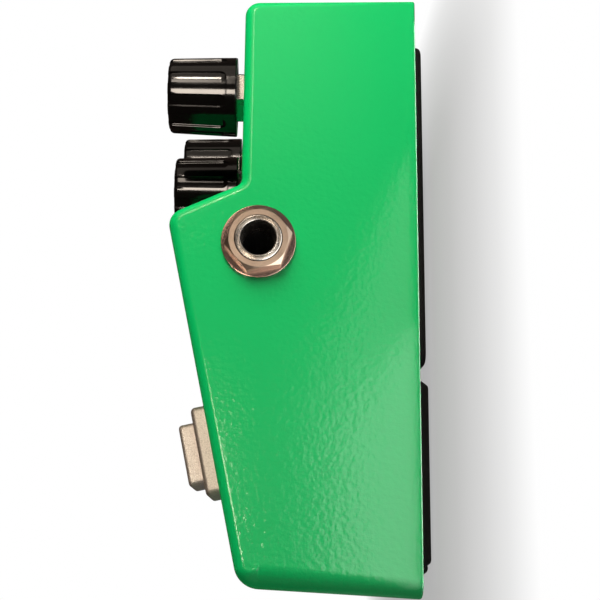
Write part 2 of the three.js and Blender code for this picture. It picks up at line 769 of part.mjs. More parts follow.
function returnSpring() {
  const radius = 4.2;
  const turns = 3;
  const low = 0.9 + 0.35;
  const high = CAP_TOP - 1.3 - 0.35;
  class Helix extends THREE.Curve {
    getPoint(t, target = new THREE.Vector3()) {
      const angle = 2 * Math.PI * turns * t;
      return target.set(radius * Math.cos(angle), radius * Math.sin(angle), low + (high - low) * t);
    }
  }
  const ring = new THREE.Shape();
  ring.absarc(0, 0, 0.28, 0, 2 * Math.PI, false);
  const shape = new THREE.Shape(ring.getSpacedPoints(6).slice(0, 6));
  return solid(new THREE.ExtrudeGeometry(shape, { steps: 36, extrudePath: new Helix() }));
}

// A strip folded into a C: the upper leaf under the housing wall, one leg, and a shelf for the switch.
const SHELF = -15;
function switchBracket() {
  const half = 6;
  const { top, thickness } = FLANGE;
  const screwHoles = [-1, 1].map((side) => post(1.3, -8, 0, [side * BOSS.x, 0], 12));
  return cut(
    join(
      box(-14, 13, -half, half, top - thickness, top),
      box(-14, -13, -half, half, SHELF, top),
      box(-14, 9, -half, half, SHELF, SHELF + thickness),
    ),
    post(STEM + 0.3, -8, 0),
    ...screwHoles,
  );
}

function frameScrew() {
  const seat = FLANGE.top - FLANGE.thickness;
  return join(
    post(2, seat - 1.3, seat - FIT, [0, 0], 16),
    post(1, seat - 1, -0.3, [0, 0], 12),
  );
}

const SWITCH_BODY = { bottom: SHELF + 2.75, top: -7.9 };
function switchBoard() {
  return box(-9, 9, -5.6, 5.6, SHELF + 1 + FIT, SHELF + 2.65);
}

function pushSwitch() {
  return cut(
    box(-4.2, 4.2, -4.2, 4.2, SWITCH_BODY.bottom, SWITCH_BODY.top),
    post(1.75, SWITCH_BODY.bottom + 0.4, 0, [0, 0], 16),
  );
}

function switchPlunger() {
  return post(1.6, -9.3, STEM_END - FIT, [0, 0], 16);
}

// ---------------------------------------------------------------- assembly

const pedal = new THREE.Group();
const place = (group, x, y, z) => {
  group.position.set(x, y, z);
  pedal.add(group);
  return group;
};

pedal.add(mesh("housing", housing(), GREEN));
pedal.add(mesh("base_plate", basePlate(), STEEL));
pedal.add(mesh("rear_mat", rearMat(), RUBBER));
pedal.add(mesh("battery_door", batteryDoor(), BLACK_PLASTIC));
pedal.add(mesh("door_pad", doorPad(), RUBBER));
pedal.add(mesh("hinge_pin", hingePin(), STEEL));
for (const [end, [x, y]] of Object.entries(SCREW_PLACES))
  for (const [hand, side] of [["right", 1], ["left", -1]]) {
    const screw = mesh(`base_screw_${end}_${hand}`, baseScrew(), STEEL);
    screw.position.set(side * x, y, PLATE_BOTTOM);
    pedal.add(screw);
  }

pedal.add(mesh("battery_tray", batteryTray(), BLACK_PLASTIC));
pedal.add(mesh("battery", battery(), BATTERY_WRAP));
pedal.add(mesh("battery_snap", batterySnap(), BLACK_PLASTIC));
pedal.add(mesh("battery_lead_red", batteryLead(1), RED_WIRE));
pedal.add(mesh("battery_lead_black", batteryLead(-1), BLACK_WIRE));

pedal.add(mesh("main_board", mainBoard(), FIBREGLASS));
for (const [hand, side] of [["right", 1], ["left", -1]]) {
  const screw = mesh(`board_screw_${hand}`, boardScrew(), STEEL);
  screw.position.set(side * BOARD_POST.x, BOARD_POST.y, 0);
  pedal.add(screw);
}
for (const [name, body, look, x, y] of [
  ["op_amp", opAmp(), BLACK_PLASTIC, 0, 6],
  ["capacitor_left", canCapacitor(4, 11), BLACK_WIRE, -15, 24],
  ["capacitor_right", canCapacitor(3.2, 8), BLACK_WIRE, 15, 26],
]) {
  const part = mesh(name, body, look);
  part.position.set(x, y, 0);
  pedal.add(part);
}

for (const [name, [x, y]] of Object.entries(KNOB_PLACES)) {
  const control = place(new THREE.Group(), x, y, 0);
  control.add(mesh(`${name}_pot`, potBody(), STEEL));
  const nut = mesh(`${name}_pot_nut`, potNut(), NICKEL);
  nut.rotation.z = POT_NUT_TURN;
  control.add(nut);
  control.add(mesh(`${name}_shaft`, potShaft(), BRASS));
  control.add(mesh(`${name}_knob`, knob(), BLACK_GLOSS));
}

for (const [name, turn] of [["input", 0], ["output", Math.PI]]) {
  const jack = place(new THREE.Group(), 0, JACK.y, JACK_Z);
  jack.rotation.z = turn;
  jack.add(mesh(`${name}_jack_body`, jackBody(), BLACK_PLASTIC));
  jack.add(mesh(`${name}_jack_sleeve`, jackSleeve(), NICKEL));
  jack.add(mesh(`${name}_jack_washer`, jackWasher(), NICKEL));
  jack.add(mesh(`${name}_jack_nut`, jackNut(), NICKEL));
  jack.add(mesh(`${name}_tip_spring`, contactSpring(), BRASS));
}
for (const [name, side] of [["input", 1], ["output", -1]]) {
  const under = JACK_Z - JACK.half;
  const lead = wire(0.65, [
    [side * 14, JACK.y - 3, under - 0.8],
    [side * 13, JACK.y - 6, under - 2],
    [side * 12.5, JACK.y - 9, BOARD.top + 2.4],
    [side * 12, JACK.y - 11, BOARD.top + 0.8],
  ], 10);
  pedal.add(mesh(`${name}_jack_lead`, lead, WHITE_WIRE));
}

const socket = place(new THREE.Group(), DC.x, 0, RIM + DC.height);
socket.add(mesh("dc_jack_body", dcBody(), BLACK_PLASTIC));
socket.add(mesh("dc_jack_pin", dcPin(), NICKEL));
const lamp = place(new THREE.Group(), 0, LED.y, 0);
lamp.add(mesh("led_lamp", ledLamp(), RED_LENS));
lamp.add(mesh("led_bezel", ledBezel(), BLACK_PLASTIC));

const footswitch = place(new THREE.Group(), 0, SWITCH.y, switchZ);
footswitch.rotation.x = SLOPE;
footswitch.add(mesh("footswitch_frame", switchFrame(), CAST));
footswitch.add(mesh("footswitch_button", switchButton(), CAST));
footswitch.add(mesh("stem_clip", stemClip(), STEEL));
footswitch.add(mesh("return_spring", returnSpring(), STEEL));
footswitch.add(mesh("switch_bracket", switchBracket(), STEEL));
for (const [hand, side] of [["right", 1], ["left", -1]]) {
  const screw = mesh(`frame_screw_${hand}`, frameScrew(), STEEL);
  screw.position.x = side * BOSS.x;
  footswitch.add(screw);
}
footswitch.add(mesh("switch_board", switchBoard(), FIBREGLASS));
footswitch.add(mesh("push_switch", pushSwitch(), BLACK_PLASTIC));
footswitch.add(mesh("switch_plunger", switchPlunger(), WHITE_WIRE));
const switchLead = wire(0.65, [
  [7.5, SWITCH.y + 4, 33.6],
  [8.5, SWITCH.y + 10, 34.2],
  [8, -15, 30],
  [5, -9, 25],
  [4, -5, BOARD.top + 0.9],
]);
pedal.add(mesh("switch_lead", switchLead, WHITE_WIRE));

export default pedal;
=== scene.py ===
"""The looks of a guitar effects pedal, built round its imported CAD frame.

Lengths in this script are millimetres until a mesh is made, which turns them into metres.
+X is the player's right (input side), +Y the rear, +Z up, and the floor is at height 0.
"""

import math

import bmesh
import bpy
from mathutils import Matrix, Vector

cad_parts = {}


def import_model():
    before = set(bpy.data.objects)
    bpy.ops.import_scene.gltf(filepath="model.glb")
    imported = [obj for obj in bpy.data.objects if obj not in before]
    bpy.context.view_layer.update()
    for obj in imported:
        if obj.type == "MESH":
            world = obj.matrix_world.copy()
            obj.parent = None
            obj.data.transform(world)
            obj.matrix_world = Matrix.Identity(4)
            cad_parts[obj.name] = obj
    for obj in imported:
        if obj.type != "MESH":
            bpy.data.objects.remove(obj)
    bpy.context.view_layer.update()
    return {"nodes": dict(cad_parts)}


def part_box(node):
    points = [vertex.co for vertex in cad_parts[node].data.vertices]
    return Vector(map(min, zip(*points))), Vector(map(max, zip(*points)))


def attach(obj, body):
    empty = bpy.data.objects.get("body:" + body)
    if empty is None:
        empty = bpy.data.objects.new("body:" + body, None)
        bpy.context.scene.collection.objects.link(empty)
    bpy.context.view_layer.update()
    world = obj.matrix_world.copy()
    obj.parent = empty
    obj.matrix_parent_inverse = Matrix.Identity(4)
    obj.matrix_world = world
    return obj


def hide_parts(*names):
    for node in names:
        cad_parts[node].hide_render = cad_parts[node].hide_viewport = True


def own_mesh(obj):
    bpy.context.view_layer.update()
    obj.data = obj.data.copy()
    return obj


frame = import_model()
MM = 0.001
MERGE = 0.001  # points closer than this are one point
ACROSS = Matrix.Rotation(math.pi / 2, 4, "Y")  # turns a lathe's axis to point along +X


def box_mm(node):
    low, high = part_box(node)
    return low / MM, high / MM


def centre_mm(node):
    low, high = box_mm(node)
    return (low + high) / 2


# ---------------------------------------------------------------- driving dimensions

CASE_LOW, CASE_HIGH = box_mm("housing")
RIM = CASE_LOW.z
HALF_WIDTH = CASE_HIGH.x
REAR = CASE_HIGH.y
FRONT = CASE_LOW.y
GAP = 0.05  # what the CAD leaves between pieces that touch
PANEL = box_mm("level_pot_nut")[0].z - GAP
FRONT_TOP = 37.8  # where the slope would meet the front wall
FRONT_LEAN = 1.75
REAR_LEAN = 0.7
REAR_FOOT = REAR - 0.35  # the rear wall at the rim
RIDGE = Vector((13.0, 53.9))
FOOT_Y = 20.0
WALL = 2.5
SLOPE = math.atan2(RIDGE.y - FRONT_TOP, RIDGE.x - FRONT - FRONT_LEAN)
SWITCH_Y = -32.35
SWITCH_Z = FRONT_TOP + (SWITCH_Y - FRONT - FRONT_LEAN) * math.tan(SLOPE)
SWITCH_PLACE = Matrix.Translation((0, SWITCH_Y, SWITCH_Z)) @ Matrix.Rotation(SLOPE, 4, "X")
PLATE_BOTTOM = RIM + 0.15

KNOB_NAMES = ("level", "tone", "drive")
JACK_SIDES = {"input": 1, "output": -1}

# ---------------------------------------------------------------- meshes


def arc(before, here, after, radius, steps):
    """The points of the arc that rounds the corner at here."""
    here = Vector(here)
    back = (Vector(before) - here).normalized()
    ahead = (Vector(after) - here).normalized()
    half = back.angle(ahead) / 2
    centre = here + (back + ahead).normalized() * (radius / math.sin(half))
    start = here + back * (radius / math.tan(half)) - centre
    end = here + ahead * (radius / math.tan(half)) - centre
    sweep = math.atan2(start.cross(end), start.dot(end))
    return [centre + Matrix.Rotation(sweep * k / steps, 2) @ start for k in range(steps + 1)]


def rounded(corners, steps=8):
    """The points of a closed outline whose corners (x, y, radius) are rounded by arcs."""
    points = []
    for i, (x, y, radius) in enumerate(corners):
        if radius > 0:
            after = corners[(i + 1) % len(corners)]
            points += arc(corners[i - 1][:2], (x, y), after[:2], radius, steps)
        else:
            points.append(Vector((x, y)))
    return points


def lofted(loops, closed=False):
    """A closed solid through loops of equally many points: capped at its ends, or joined into a ring."""
    bm = bmesh.new()
    rows = [[bm.verts.new(p) for p in loop] for loop in loops]
    pairs = list(zip(rows, rows[1:]))
    if closed:
        pairs.append((rows[-1], rows[0]))
    count = len(rows[0])
    for low, high in pairs:
        for i in range(count):
            j = (i + 1) % count
            bm.faces.new((low[i], low[j], high[j], high[i]))
    if not closed:
        bm.faces.new(list(reversed(rows[0])))
        bm.faces.new(rows[-1])
    bmesh.ops.remove_doubles(bm, verts=bm.verts, dist=1e-4)
    bmesh.ops.recalc_face_normals(bm, faces=bm.faces)
    return bm


def lathe(profile, segments=96):
    """A solid of revolution about Z. profile holds (radius, height) points, from the axis back to the axis,
    or round a ring."""
    ring = min(r for r, _ in profile) > 1e-6
    turns = [2 * math.pi * i / segments for i in range(segments)]
    loops = [
        [Vector((max(r, 1e-5) * math.cos(a), max(r, 1e-5) * math.sin(a), z)) for a in turns]
        for r, z in profile
    ]
    return lofted(loops, closed=ring)


def softened(corners, radius=0.2, steps=3):
    """A lathe profile with every corner off the axis rounded."""
    points = []
    for r, z in corners:
        points.append((r, z, radius if r > 1e-6 else 0))
    return [tuple(p) for p in rounded(points, steps)]


def edges(z0, z1, low, high, steps=5):
    """Heights and insets of a block from z0 to z1 whose lower and upper edges are rounded."""
    stations = []
    for k in range(steps + 1):
        a = math.pi / 2 * k / steps
        stations.append((z0 + low * (1 - math.cos(a)), low * (1 - math.sin(a))))
    for k in range(steps + 1):
        a = math.pi / 2 * k / steps
        stations.append((z1 - high * (1 - math.sin(a)), high * (1 - math.cos(a))))
    return stations


def tablet(x0, x1, y0, y1, corner, stations):
    """A rectangular block with rounded vertical edges. stations holds (height, inset) pairs."""
    loops = []
    for z, inset in stations:
        r = max(corner - inset, 0.02)
        left, right, near, far = x0 + inset, x1 - inset, y0 + inset, y1 - inset
        outline = [(left, near, r), (right, near, r), (right, far, r), (left, far, r)]
        loops.append([p.to_3d() + Vector((0, 0, z)) for p in rounded(outline)])
    return lofted(loops)


def made(name, bm, place=Matrix.Identity(4)):
    """The finished mesh as an object, in metres."""
    bm.transform(Matrix.Scale(MM, 4) @ place)
    mesh = bpy.data.meshes.new(name)
    bm.to_mesh(mesh)
    bm.free()
    piece = bpy.data.objects.new(name, mesh)
    bpy.context.scene.collection.objects.link(piece)
    return piece


def applied(piece):
    """piece with its modifiers applied."""
    graph = bpy.context.evaluated_depsgraph_get()
    mesh = bpy.data.meshes.new_from_object(piece.evaluated_get(graph))
    piece.modifiers.clear()
    piece.data = mesh
    return piece


def mended(piece):
    """piece with the slivers that a cut leaves merged, and the pinholes beside them filled."""
    bm = bmesh.new()
    bm.from_mesh(piece.data)
    bmesh.ops.remove_doubles(bm, verts=bm.verts, dist=MERGE * MM)
    bmesh.ops.holes_fill(bm, edges=[edge for edge in bm.edges if edge.is_boundary], sides=0)
    bmesh.ops.recalc_face_normals(bm, faces=bm.faces)
    bm.to_mesh(piece.data)
    bm.free()
    return piece


def carved(piece, tools, operation="DIFFERENCE"):
    """piece cut by, or joined with, each of the tools, which are used up."""
    for tool in tools:
        step = piece.modifiers.new("carve", "BOOLEAN")
        step.operation = operation
        step.solver = "EXACT"
        step.object = tool
        applied(piece)
        bpy.data.objects.remove(tool)
    return mended(piece)


def dressed(piece, look, body, slot, *nodes, crease=30):
    """Gives a new piece its material and its body, and hides the CAD nodes that it stands for."""
    piece.data.materials.clear()
    piece.data.materials.append(look)
    piece.data.shade_smooth()
    piece.data.set_sharp_from_angle(angle=math.radians(crease))
    piece.modifiers.new("shading", "WEIGHTED_NORMAL").keep_sharp = True
    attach(piece, body)
    if nodes:
        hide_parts(*nodes)
    return piece


def cylinder(name, radius, z0, z1, place=Matrix.Identity(4), segments=64):
    return made(name, lathe([(0, z0), (radius, z0), (radius, z1), (0, z1)], segments), place)


def block(name, x0, x1, y0, y1, z0, z1, place=Matrix.Identity(4)):
    return made(name, tablet(x0, x1, y0, y1, 0, [(z0, 0), (z1, 0)]), place)


# ---------------------------------------------------------------- materials


class Look:
    """A node material round one Principled shader. Its textures are laid out in the piece's own metres."""

    def __init__(self, name, colour, roughness, metallic=0.0, **inputs):
        self.material = bpy.data.materials.new(name)
        self.material.use_nodes = True
        self.nodes = self.material.node_tree.nodes
        self.links = self.material.node_tree.links
        self.shader = self.nodes["Principled BSDF"]
        self.where = self.nodes.new("ShaderNodeTexCoord").outputs["Object"]
        self.set(self.shader, **{"Base Color": (*colour, 1), "Roughness": roughness})
        self.set(self.shader, Metallic=metallic, **inputs)

    def set(self, node, **inputs):
        for name, value in inputs.items():
            socket = node.inputs[name.replace("_", " ")]
            if isinstance(value, bpy.types.NodeSocket):
                self.links.new(value, socket)
            else:
                socket.default_value = value
        return node

    def noise(self, scale, detail=2.0, roughness=0.5):
        node = self.nodes.new("ShaderNodeTexNoise")
        self.set(node, Vector=self.where, Scale=scale, Detail=detail, Roughness=roughness)
        return node.outputs["Fac"]

    def grains(self, scale, randomness=1.0):
        node = self.nodes.new("ShaderNodeTexVoronoi")
        self.set(node, Vector=self.where, Scale=scale, Randomness=randomness)
        return node.outputs["Distance"]

    def remap(self, value, low, high, to_low, to_high):
        node = self.nodes.new("ShaderNodeMapRange")
        self.set(node, Value=value)
        node.inputs["From Min"].default_value = low
        node.inputs["From Max"].default_value = high
        node.inputs["To Min"].default_value = to_low
        node.inputs["To Max"].default_value = to_high
        return node.outputs["Result"]

    def maths(self, operation, a, b=0.0):
        node = self.nodes.new("ShaderNodeMath")
        node.operation = operation
        for socket, value in zip(node.inputs, (a, b)):
            if isinstance(value, bpy.types.NodeSocket):
                self.links.new(value, socket)
            else:
                socket.default_value = value
        return node.outputs["Value"]

    def curve(self, value, points):
        """Straight lines through points (from, to)."""
        result = points[0][1]
        for (a, low), (b, high) in zip(points, points[1:]):
            step = self.remap(value, a, b, 0.0, high - low)
            result = self.maths("ADD", result, step)
        return result

    def vector_maths(self, operation, a, b=(0, 0, 0)):
        node = self.nodes.new("ShaderNodeVectorMath")
        node.operation = operation
        self.links.new(a, node.inputs[0])
        node.inputs[1].default_value = b
        return node.outputs["Value" if operation == "LENGTH" else "Vector"]

    def beyond(self, middle, half, stretch):
        """How far outside a box a point is, each axis counted with its own weight."""
        offset = self.vector_maths("ABSOLUTE", self.vector_maths("SUBTRACT", self.where, middle))
        away = self.vector_maths("MULTIPLY", self.vector_maths("SUBTRACT", offset, half), stretch)
        return self.vector_maths("LENGTH", self.vector_maths("MAXIMUM", away))

    def tint(self, factor, other):
        """Mixes the base colour towards another one by factor."""
        node = self.nodes.new("ShaderNodeMix")
        node.data_type = "RGBA"
        self.links.new(factor, node.inputs["Factor"])
        current = self.shader.inputs["Base Color"]
        if current.is_linked:
            self.links.new(current.links[0].from_socket, node.inputs["A"])
        else:
            node.inputs["A"].default_value = current.default_value
        node.inputs["B"].default_value = (*other, 1)
        self.links.new(node.outputs["Result"], current)

    def rough(self, factor, low, high):
        self.links.new(self.remap(factor, 0, 1, low, high), self.shader.inputs["Roughness"])

    def bump(self, height, depth, socket="Normal"):
        """Raises the surface by depth millimetres times height."""
        node = self.nodes.new("ShaderNodeBump")
        node.inputs["Distance"].default_value = depth * MM
        self.links.new(height, node.inputs["Height"])
        before = self.shader.inputs[socket]
        if before.is_linked:
            self.links.new(before.links[0].from_socket, node.inputs["Normal"])
        self.links.new(node.outputs["Normal"], before)


def green_paint():
    """Sprayed green: a saturated body colour under a satin coat with a fine orange peel."""
    look = Look("green_paint", (0.0006, 0.52, 0.135), 0.5, Specular_IOR_Level=0.05, Coat_Weight=0.5)
    look.set(look.shader, Coat_Roughness=0.125)
    cloud = look.noise(14, 3)
    look.tint(look.remap(cloud, 0.35, 0.7, 0.0, 0.3), (0.001, 0.56, 0.16))
    look.rough(look.noise(60, 3), 0.46, 0.56)
    peel = look.noise(950, 2, 0.55)
    wave = look.noise(170, 2)
    for socket in ("Normal", "Coat Normal"):
        look.bump(peel, 0.05, socket)
        look.bump(wave, 0.03, socket)
    return look.material


def knob_black():
    look = Look("knob_black", (0.002, 0.002, 0.0021), 0.12, Specular_IOR_Level=0.38)
    look.rough(look.noise(220, 4), 0.07, 0.16)
    look.tint(look.remap(look.noise(500, 4), 0.55, 0.8, 0.0, 0.5), (0.008, 0.0075, 0.007))
    look.bump(look.noise(1800, 3), 0.002)
    return look.material


def inlay_white():
    look = Look("inlay_white", (0.72, 0.71, 0.68), 0.35)
    look.tint(look.remap(look.noise(400, 4), 0.5, 0.8, 0.0, 0.4), (0.5, 0.48, 0.42))
    look.bump(look.noise(2500, 2), 0.004)
    return look.material


def turned_metal(name, colour, roughness, axis, centre):
    """Plated metal with the fine rings that turning leaves round an axis."""
    look = Look(name, colour, roughness, 1.0)
    shifted = look.vector_maths("SUBTRACT", look.where, centre * MM)
    flat = look.vector_maths("MULTIPLY", shifted, [0.0 if k == axis else 1.0 for k in range(3)])
    radius = look.vector_maths("LENGTH", flat)
    rings = look.nodes.new("ShaderNodeTexNoise")
    rings.noise_dimensions = "1D"
    look.set(rings, W=radius, Scale=9000.0, Detail=3.0)
    look.bump(rings.outputs["Fac"], 0.008)
    look.rough(look.noise(350, 4), roughness * 0.7, roughness * 1.5)
    look.tint(look.remap(look.noise(180, 5), 0.5, 0.75, 0.0, 0.5), tuple(c * 0.72 for c in colour))
    look.bump(look.noise(1200, 3), 0.004)
    return look.material


def plated_steel():
    look = Look("plated_steel", (0.5, 0.5, 0.5), 0.35, 1.0)
    look.rough(look.noise(260, 5), 0.24, 0.5)
    look.tint(look.remap(look.noise(90, 5), 0.45, 0.75, 0.0, 0.6), (0.36, 0.37, 0.38))
    look.bump(look.noise(1500, 4), 0.006)
    return look.material


def blasted_metal():
    look = Look("blasted_metal", (0.57, 0.51, 0.445), 0.5, 0.85)
    speck = look.noise(3600, 3, 0.7)
    look.tint(look.remap(speck, 0.52, 0.72, 0.0, 0.8), (0.78, 0.72, 0.64))
    look.tint(look.remap(look.noise(3100, 2, 0.7), 0.34, 0.5, 0.5, 0.0), (0.32, 0.28, 0.24))
    look.rough(speck, 0.4, 0.62)
    look.bump(speck, 0.05)
    look.bump(look.noise(700, 2), 0.03)
    return look.material


def mat_rubber():
    look = Look("mat_rubber", (0.014, 0.0135, 0.013), 0.7, Specular_IOR_Level=0.2)
    look.tint(look.remap(look.noise(120, 5), 0.45, 0.75, 0.0, 0.6), (0.024, 0.022, 0.02))
    look.rough(look.noise(900, 3), 0.6, 0.85)
    look.bump(look.noise(1400, 3, 0.6), 0.05)
    return look.material


def satin_plastic(name, colour, shine=0.5):
    look = Look(name, colour, 0.5, Specular_IOR_Level=shine)
    look.rough(look.noise(300, 3), 0.42, 0.6)
    look.tint(look.remap(look.noise(150, 4), 0.5, 0.75, 0.0, 0.4), tuple(c * 1.6 + 0.004 for c in colour))
    look.bump(look.noise(1700, 3), 0.03)
    return look.material


def contact_metal():
    look = Look("contact_metal", (0.72, 0.6, 0.42), 0.22, 1.0)
    look.rough(look.noise(400, 4), 0.15, 0.35)
    look.tint(look.remap(look.noise(200, 4), 0.5, 0.75, 0.0, 0.5), (0.45, 0.36, 0.22))
    look.bump(look.noise(1500, 3), 0.004)
    return look.material


def circuit_green():
    look = Look("circuit_green", (0.01, 0.09, 0.03), 0.3)
    tracks = look.grains(180, 0.2)
    look.tint(look.remap(tracks, 0.25, 0.3, 0.0, 0.7), (0.03, 0.17, 0.06))
    look.bump(tracks, 0.03)
    return look.material


def red_lens():
    look = Look("red_lens", (0.55, 0.004, 0.006), 0.08, **{"Transmission Weight": 0.35, "IOR": 1.49})
    look.rough(look.noise(500, 2), 0.05, 0.14)
    look.tint(look.remap(look.noise(300, 3), 0.4, 0.8, 0.0, 0.4), (0.3, 0.002, 0.004))
    return look.material


def battery_can():
    """A printed can: a dark half and a bright half along its length."""
    look = Look("battery_can", (0.35, 0.33, 0.3), 0.32, 0.7)
    split = look.nodes.new("ShaderNodeSeparateXYZ")
    look.links.new(look.where, split.inputs[0])
    look.tint(look.remap(split.outputs["X"], 0.0069, 0.007, 1.0, 0.0), (0.02, 0.02, 0.022))
    look.rough(look.noise(150, 3), 0.25, 0.42)
    look.bump(look.noise(900, 2), 0.006)
    return look.material


def wire_plastic(name, colour):
    look = Look(name, colour, 0.45)
    look.tint(look.remap(look.noise(500, 3), 0.45, 0.8, 0.0, 0.5), tuple(c * 0.6 for c in colour))
    look.bump(look.noise(900, 2), 0.02)
    return look.material


# ---------------------------------------------------------------- housing

TOP_EDGE = 2.1
CORNER = {"rear_top": 3.2, "foot": 1.6, "ridge": 3.4, "front_top": 5.0}
UPRIGHT = {"front": (3.8, 1.2), "rear": (1.0, 1.4)}  # rounding at the rim, and its gain by the panel's height


def upright(end, z):
    """The rounding of the case's upright edges at height z."""
    at_rim, gain = UPRIGHT[end]
    return at_rim + gain * (z - RIM) / (PANEL - RIM)


def crossing_height(start, along, height):
    """Where a line from start crosses a height."""
    return start + along * ((height - start.y) / along.y)


def side_corners(inset):
    """The corners of the case seen from the side, from the foot of the front wall over the top to the foot
    of the rear wall, as ((y, z), radius, edge rounding before it, edge rounding after it)."""
    low = RIM if inset == 0 else RIM - 4
    front_lean = FRONT_LEAN / (FRONT_TOP - RIM)
    rear_lean = REAR_LEAN / (PANEL - RIM)
    walls = [
        Vector((FRONT + front_lean * (low - RIM), low)),
        Vector((FRONT + FRONT_LEAN, FRONT_TOP)),
        RIDGE,
        Vector((FOOT_Y, PANEL)),
        Vector((REAR_FOOT - REAR_LEAN, PANEL)),
        Vector((REAR_FOOT - rear_lean * (low - RIM), low)),
    ]
    lines = []
    for start, end in zip(walls, walls[1:]):
        along = (end - start).normalized()
        lines.append((start + Vector((along.y, -along.x)) * inset, along))
    places = [crossing_height(*lines[0], low)]
    for (a, u), (b, v) in zip(lines, lines[1:]):
        places.append(a + u * ((b - a).cross(v) / u.cross(v)))
    places.append(crossing_height(*lines[-1], low))
    radii = [0, CORNER["front_top"] - inset, CORNER["ridge"] - inset, CORNER["foot"] + inset,
             CORNER["rear_top"] - inset, 0]
    before = [0, upright("front", FRONT_TOP), TOP_EDGE, TOP_EDGE, TOP_EDGE, upright("rear", low)]
    after = [upright("front", low), TOP_EDGE, TOP_EDGE, TOP_EDGE, upright("rear", PANEL), 0]
    return [(place, max(r, 0), b, a) for place, r, b, a in zip(places, radii, before, after)]


def side_profile(inset, steps=12):
    """The same outline as points, each with the edge rounding that it has."""
    corners = side_corners(inset)
    outline = []
    for i, (here, radius, before, after) in enumerate(corners):
        if not radius:
            outline.append((here, after if i == 0 else before))
            continue
        for k, point in enumerate(arc(corners[i - 1][0], here, corners[i + 1][0], radius, steps)):
            t = k / steps
            outline.append((point, before + (after - before) * t * t * (3 - 2 * t)))
    return outline


def case_solid(name, inset, steps=10):
    """The case as a closed block: its side outline carried across the width, with its long edges rounded."""
    outline = side_profile(inset)
    half = HALF_WIDTH - inset
    last = len(outline) - 1
    bm = bmesh.new()
    rows = []
    for i, (point, edge) in enumerate(outline):
        tangent = (outline[min(i + 1, last)][0] - outline[max(i - 1, 0)][0]).normalized()
        if i in (0, last):
            tangent = Vector((0, 1 if i == 0 else -1))
        inward = Vector((tangent.y, -tangent.x))
        edge = max(edge - inset, 0.3)
        turns = [math.pi / 2 * k / steps for k in range(steps + 1)]
        half_row = []
        for a in turns:
            x = half - edge * (1 - math.sin(a))
            half_row.append((x, point + inward * edge * (1 - math.cos(a))))
        row = [(-x, at) for x, at in reversed(half_row)] + half_row
        rows.append([bm.verts.new((x, at.x, at.y)) for x, at in row])
    for low, high in zip(rows, rows[1:]):
        for i in range(len(low) - 1):
            bm.faces.new((low[i], low[i + 1], high[i + 1], high[i]))
    bm.faces.new([row[0] for row in rows])
    bm.faces.new([row[-1] for row in rows])
    bm.faces.new(rows[0] + rows[-1][::-1])
    bmesh.ops.recalc_face_normals(bm, faces=bm.faces)
    return made(name, bm)


SCREW_NODES = [f"base_screw_{end}_{hand}" for end in ("front", "rear") for hand in ("right", "left")]
RIM_EDGE = 0.45


def rim_softened(case):
    """Rounds the outer edge of the rim."""
    bm = bmesh.new()
    bm.from_mesh(case.data)
    foot = [e for e in bm.edges if all(abs(v.co.z - RIM * MM) < 1e-6 for v in e.verts)]
    bmesh.ops.bevel(bm, geom=foot, offset=RIM_EDGE * MM, segments=4, profile=0.5, affect="EDGES")
    bm.to_mesh(case.data)
    bm.free()
    return case


def case_posts():
    """The posts inside the case that take the base screws and the board screws."""
    posts = []
    for node in SCREW_NODES:
        at = centre_mm(node)
        top = RIM + (15 if at.y < 0 else 22)
        tube = cylinder("post", 4.2, PLATE_BOTTOM + 1.25, top, Matrix.Translation((at.x, at.y, 0)), 32)
        bore = cylinder("bore", 1.55, 0, top - 3, Matrix.Translation((at.x, at.y, 0)), 24)
        posts.append(carved(tube, [bore]))
    for node in ("board_screw_right", "board_screw_left"):
        at = centre_mm(node)
        board = box_mm("main_board")[1].z
        tube = cylinder("post", 3, board + GAP, PANEL - WALL + 1, Matrix.Translation((at.x, at.y, 0)), 32)
        bore = cylinder("bore", 1.3, 0, board + 8, Matrix.Translation((at.x, at.y, 0)), 24)
        posts.append(carved(tube, [bore]))
    return posts


def case_holes():
    """Cutters for the pots, the lamp, the jacks, the DC socket and the footswitch."""
    cutters = []
    in_panel = {f"{name}_shaft": 3.6 for name in KNOB_NAMES}
    in_panel["led_lamp"] = 3.3
    for node, radius in in_panel.items():
        at = centre_mm(node)
        place = Matrix.Translation((at.x, at.y, 0))
        cutters.append(cylinder("hole", radius, PANEL - WALL - 2, PANEL + 2, place))
    sleeve = centre_mm("input_jack_sleeve")
    for side in (-1, 1):
        place = Matrix.Translation((side * (HALF_WIDTH - 1), sleeve.y, sleeve.z)) @ ACROSS
        cutters.append(cylinder("hole", 4.9, -4, 4, place))
    socket = centre_mm("dc_jack_pin")
    place = Matrix.Translation((socket.x, REAR - 1, socket.z)) @ Matrix.Rotation(math.pi / 2, 4, "X")
    cutters.append(cylinder("hole", 4.6, -4, 4, place))
    for x, radius in ((0, 3.5), (8.5, 2.15), (-8.5, 2.15)):
        cutters.append(cylinder("hole", radius, -6, 4, SWITCH_PLACE @ Matrix.Translation((x, 0, 0)), 48))
    return cutters


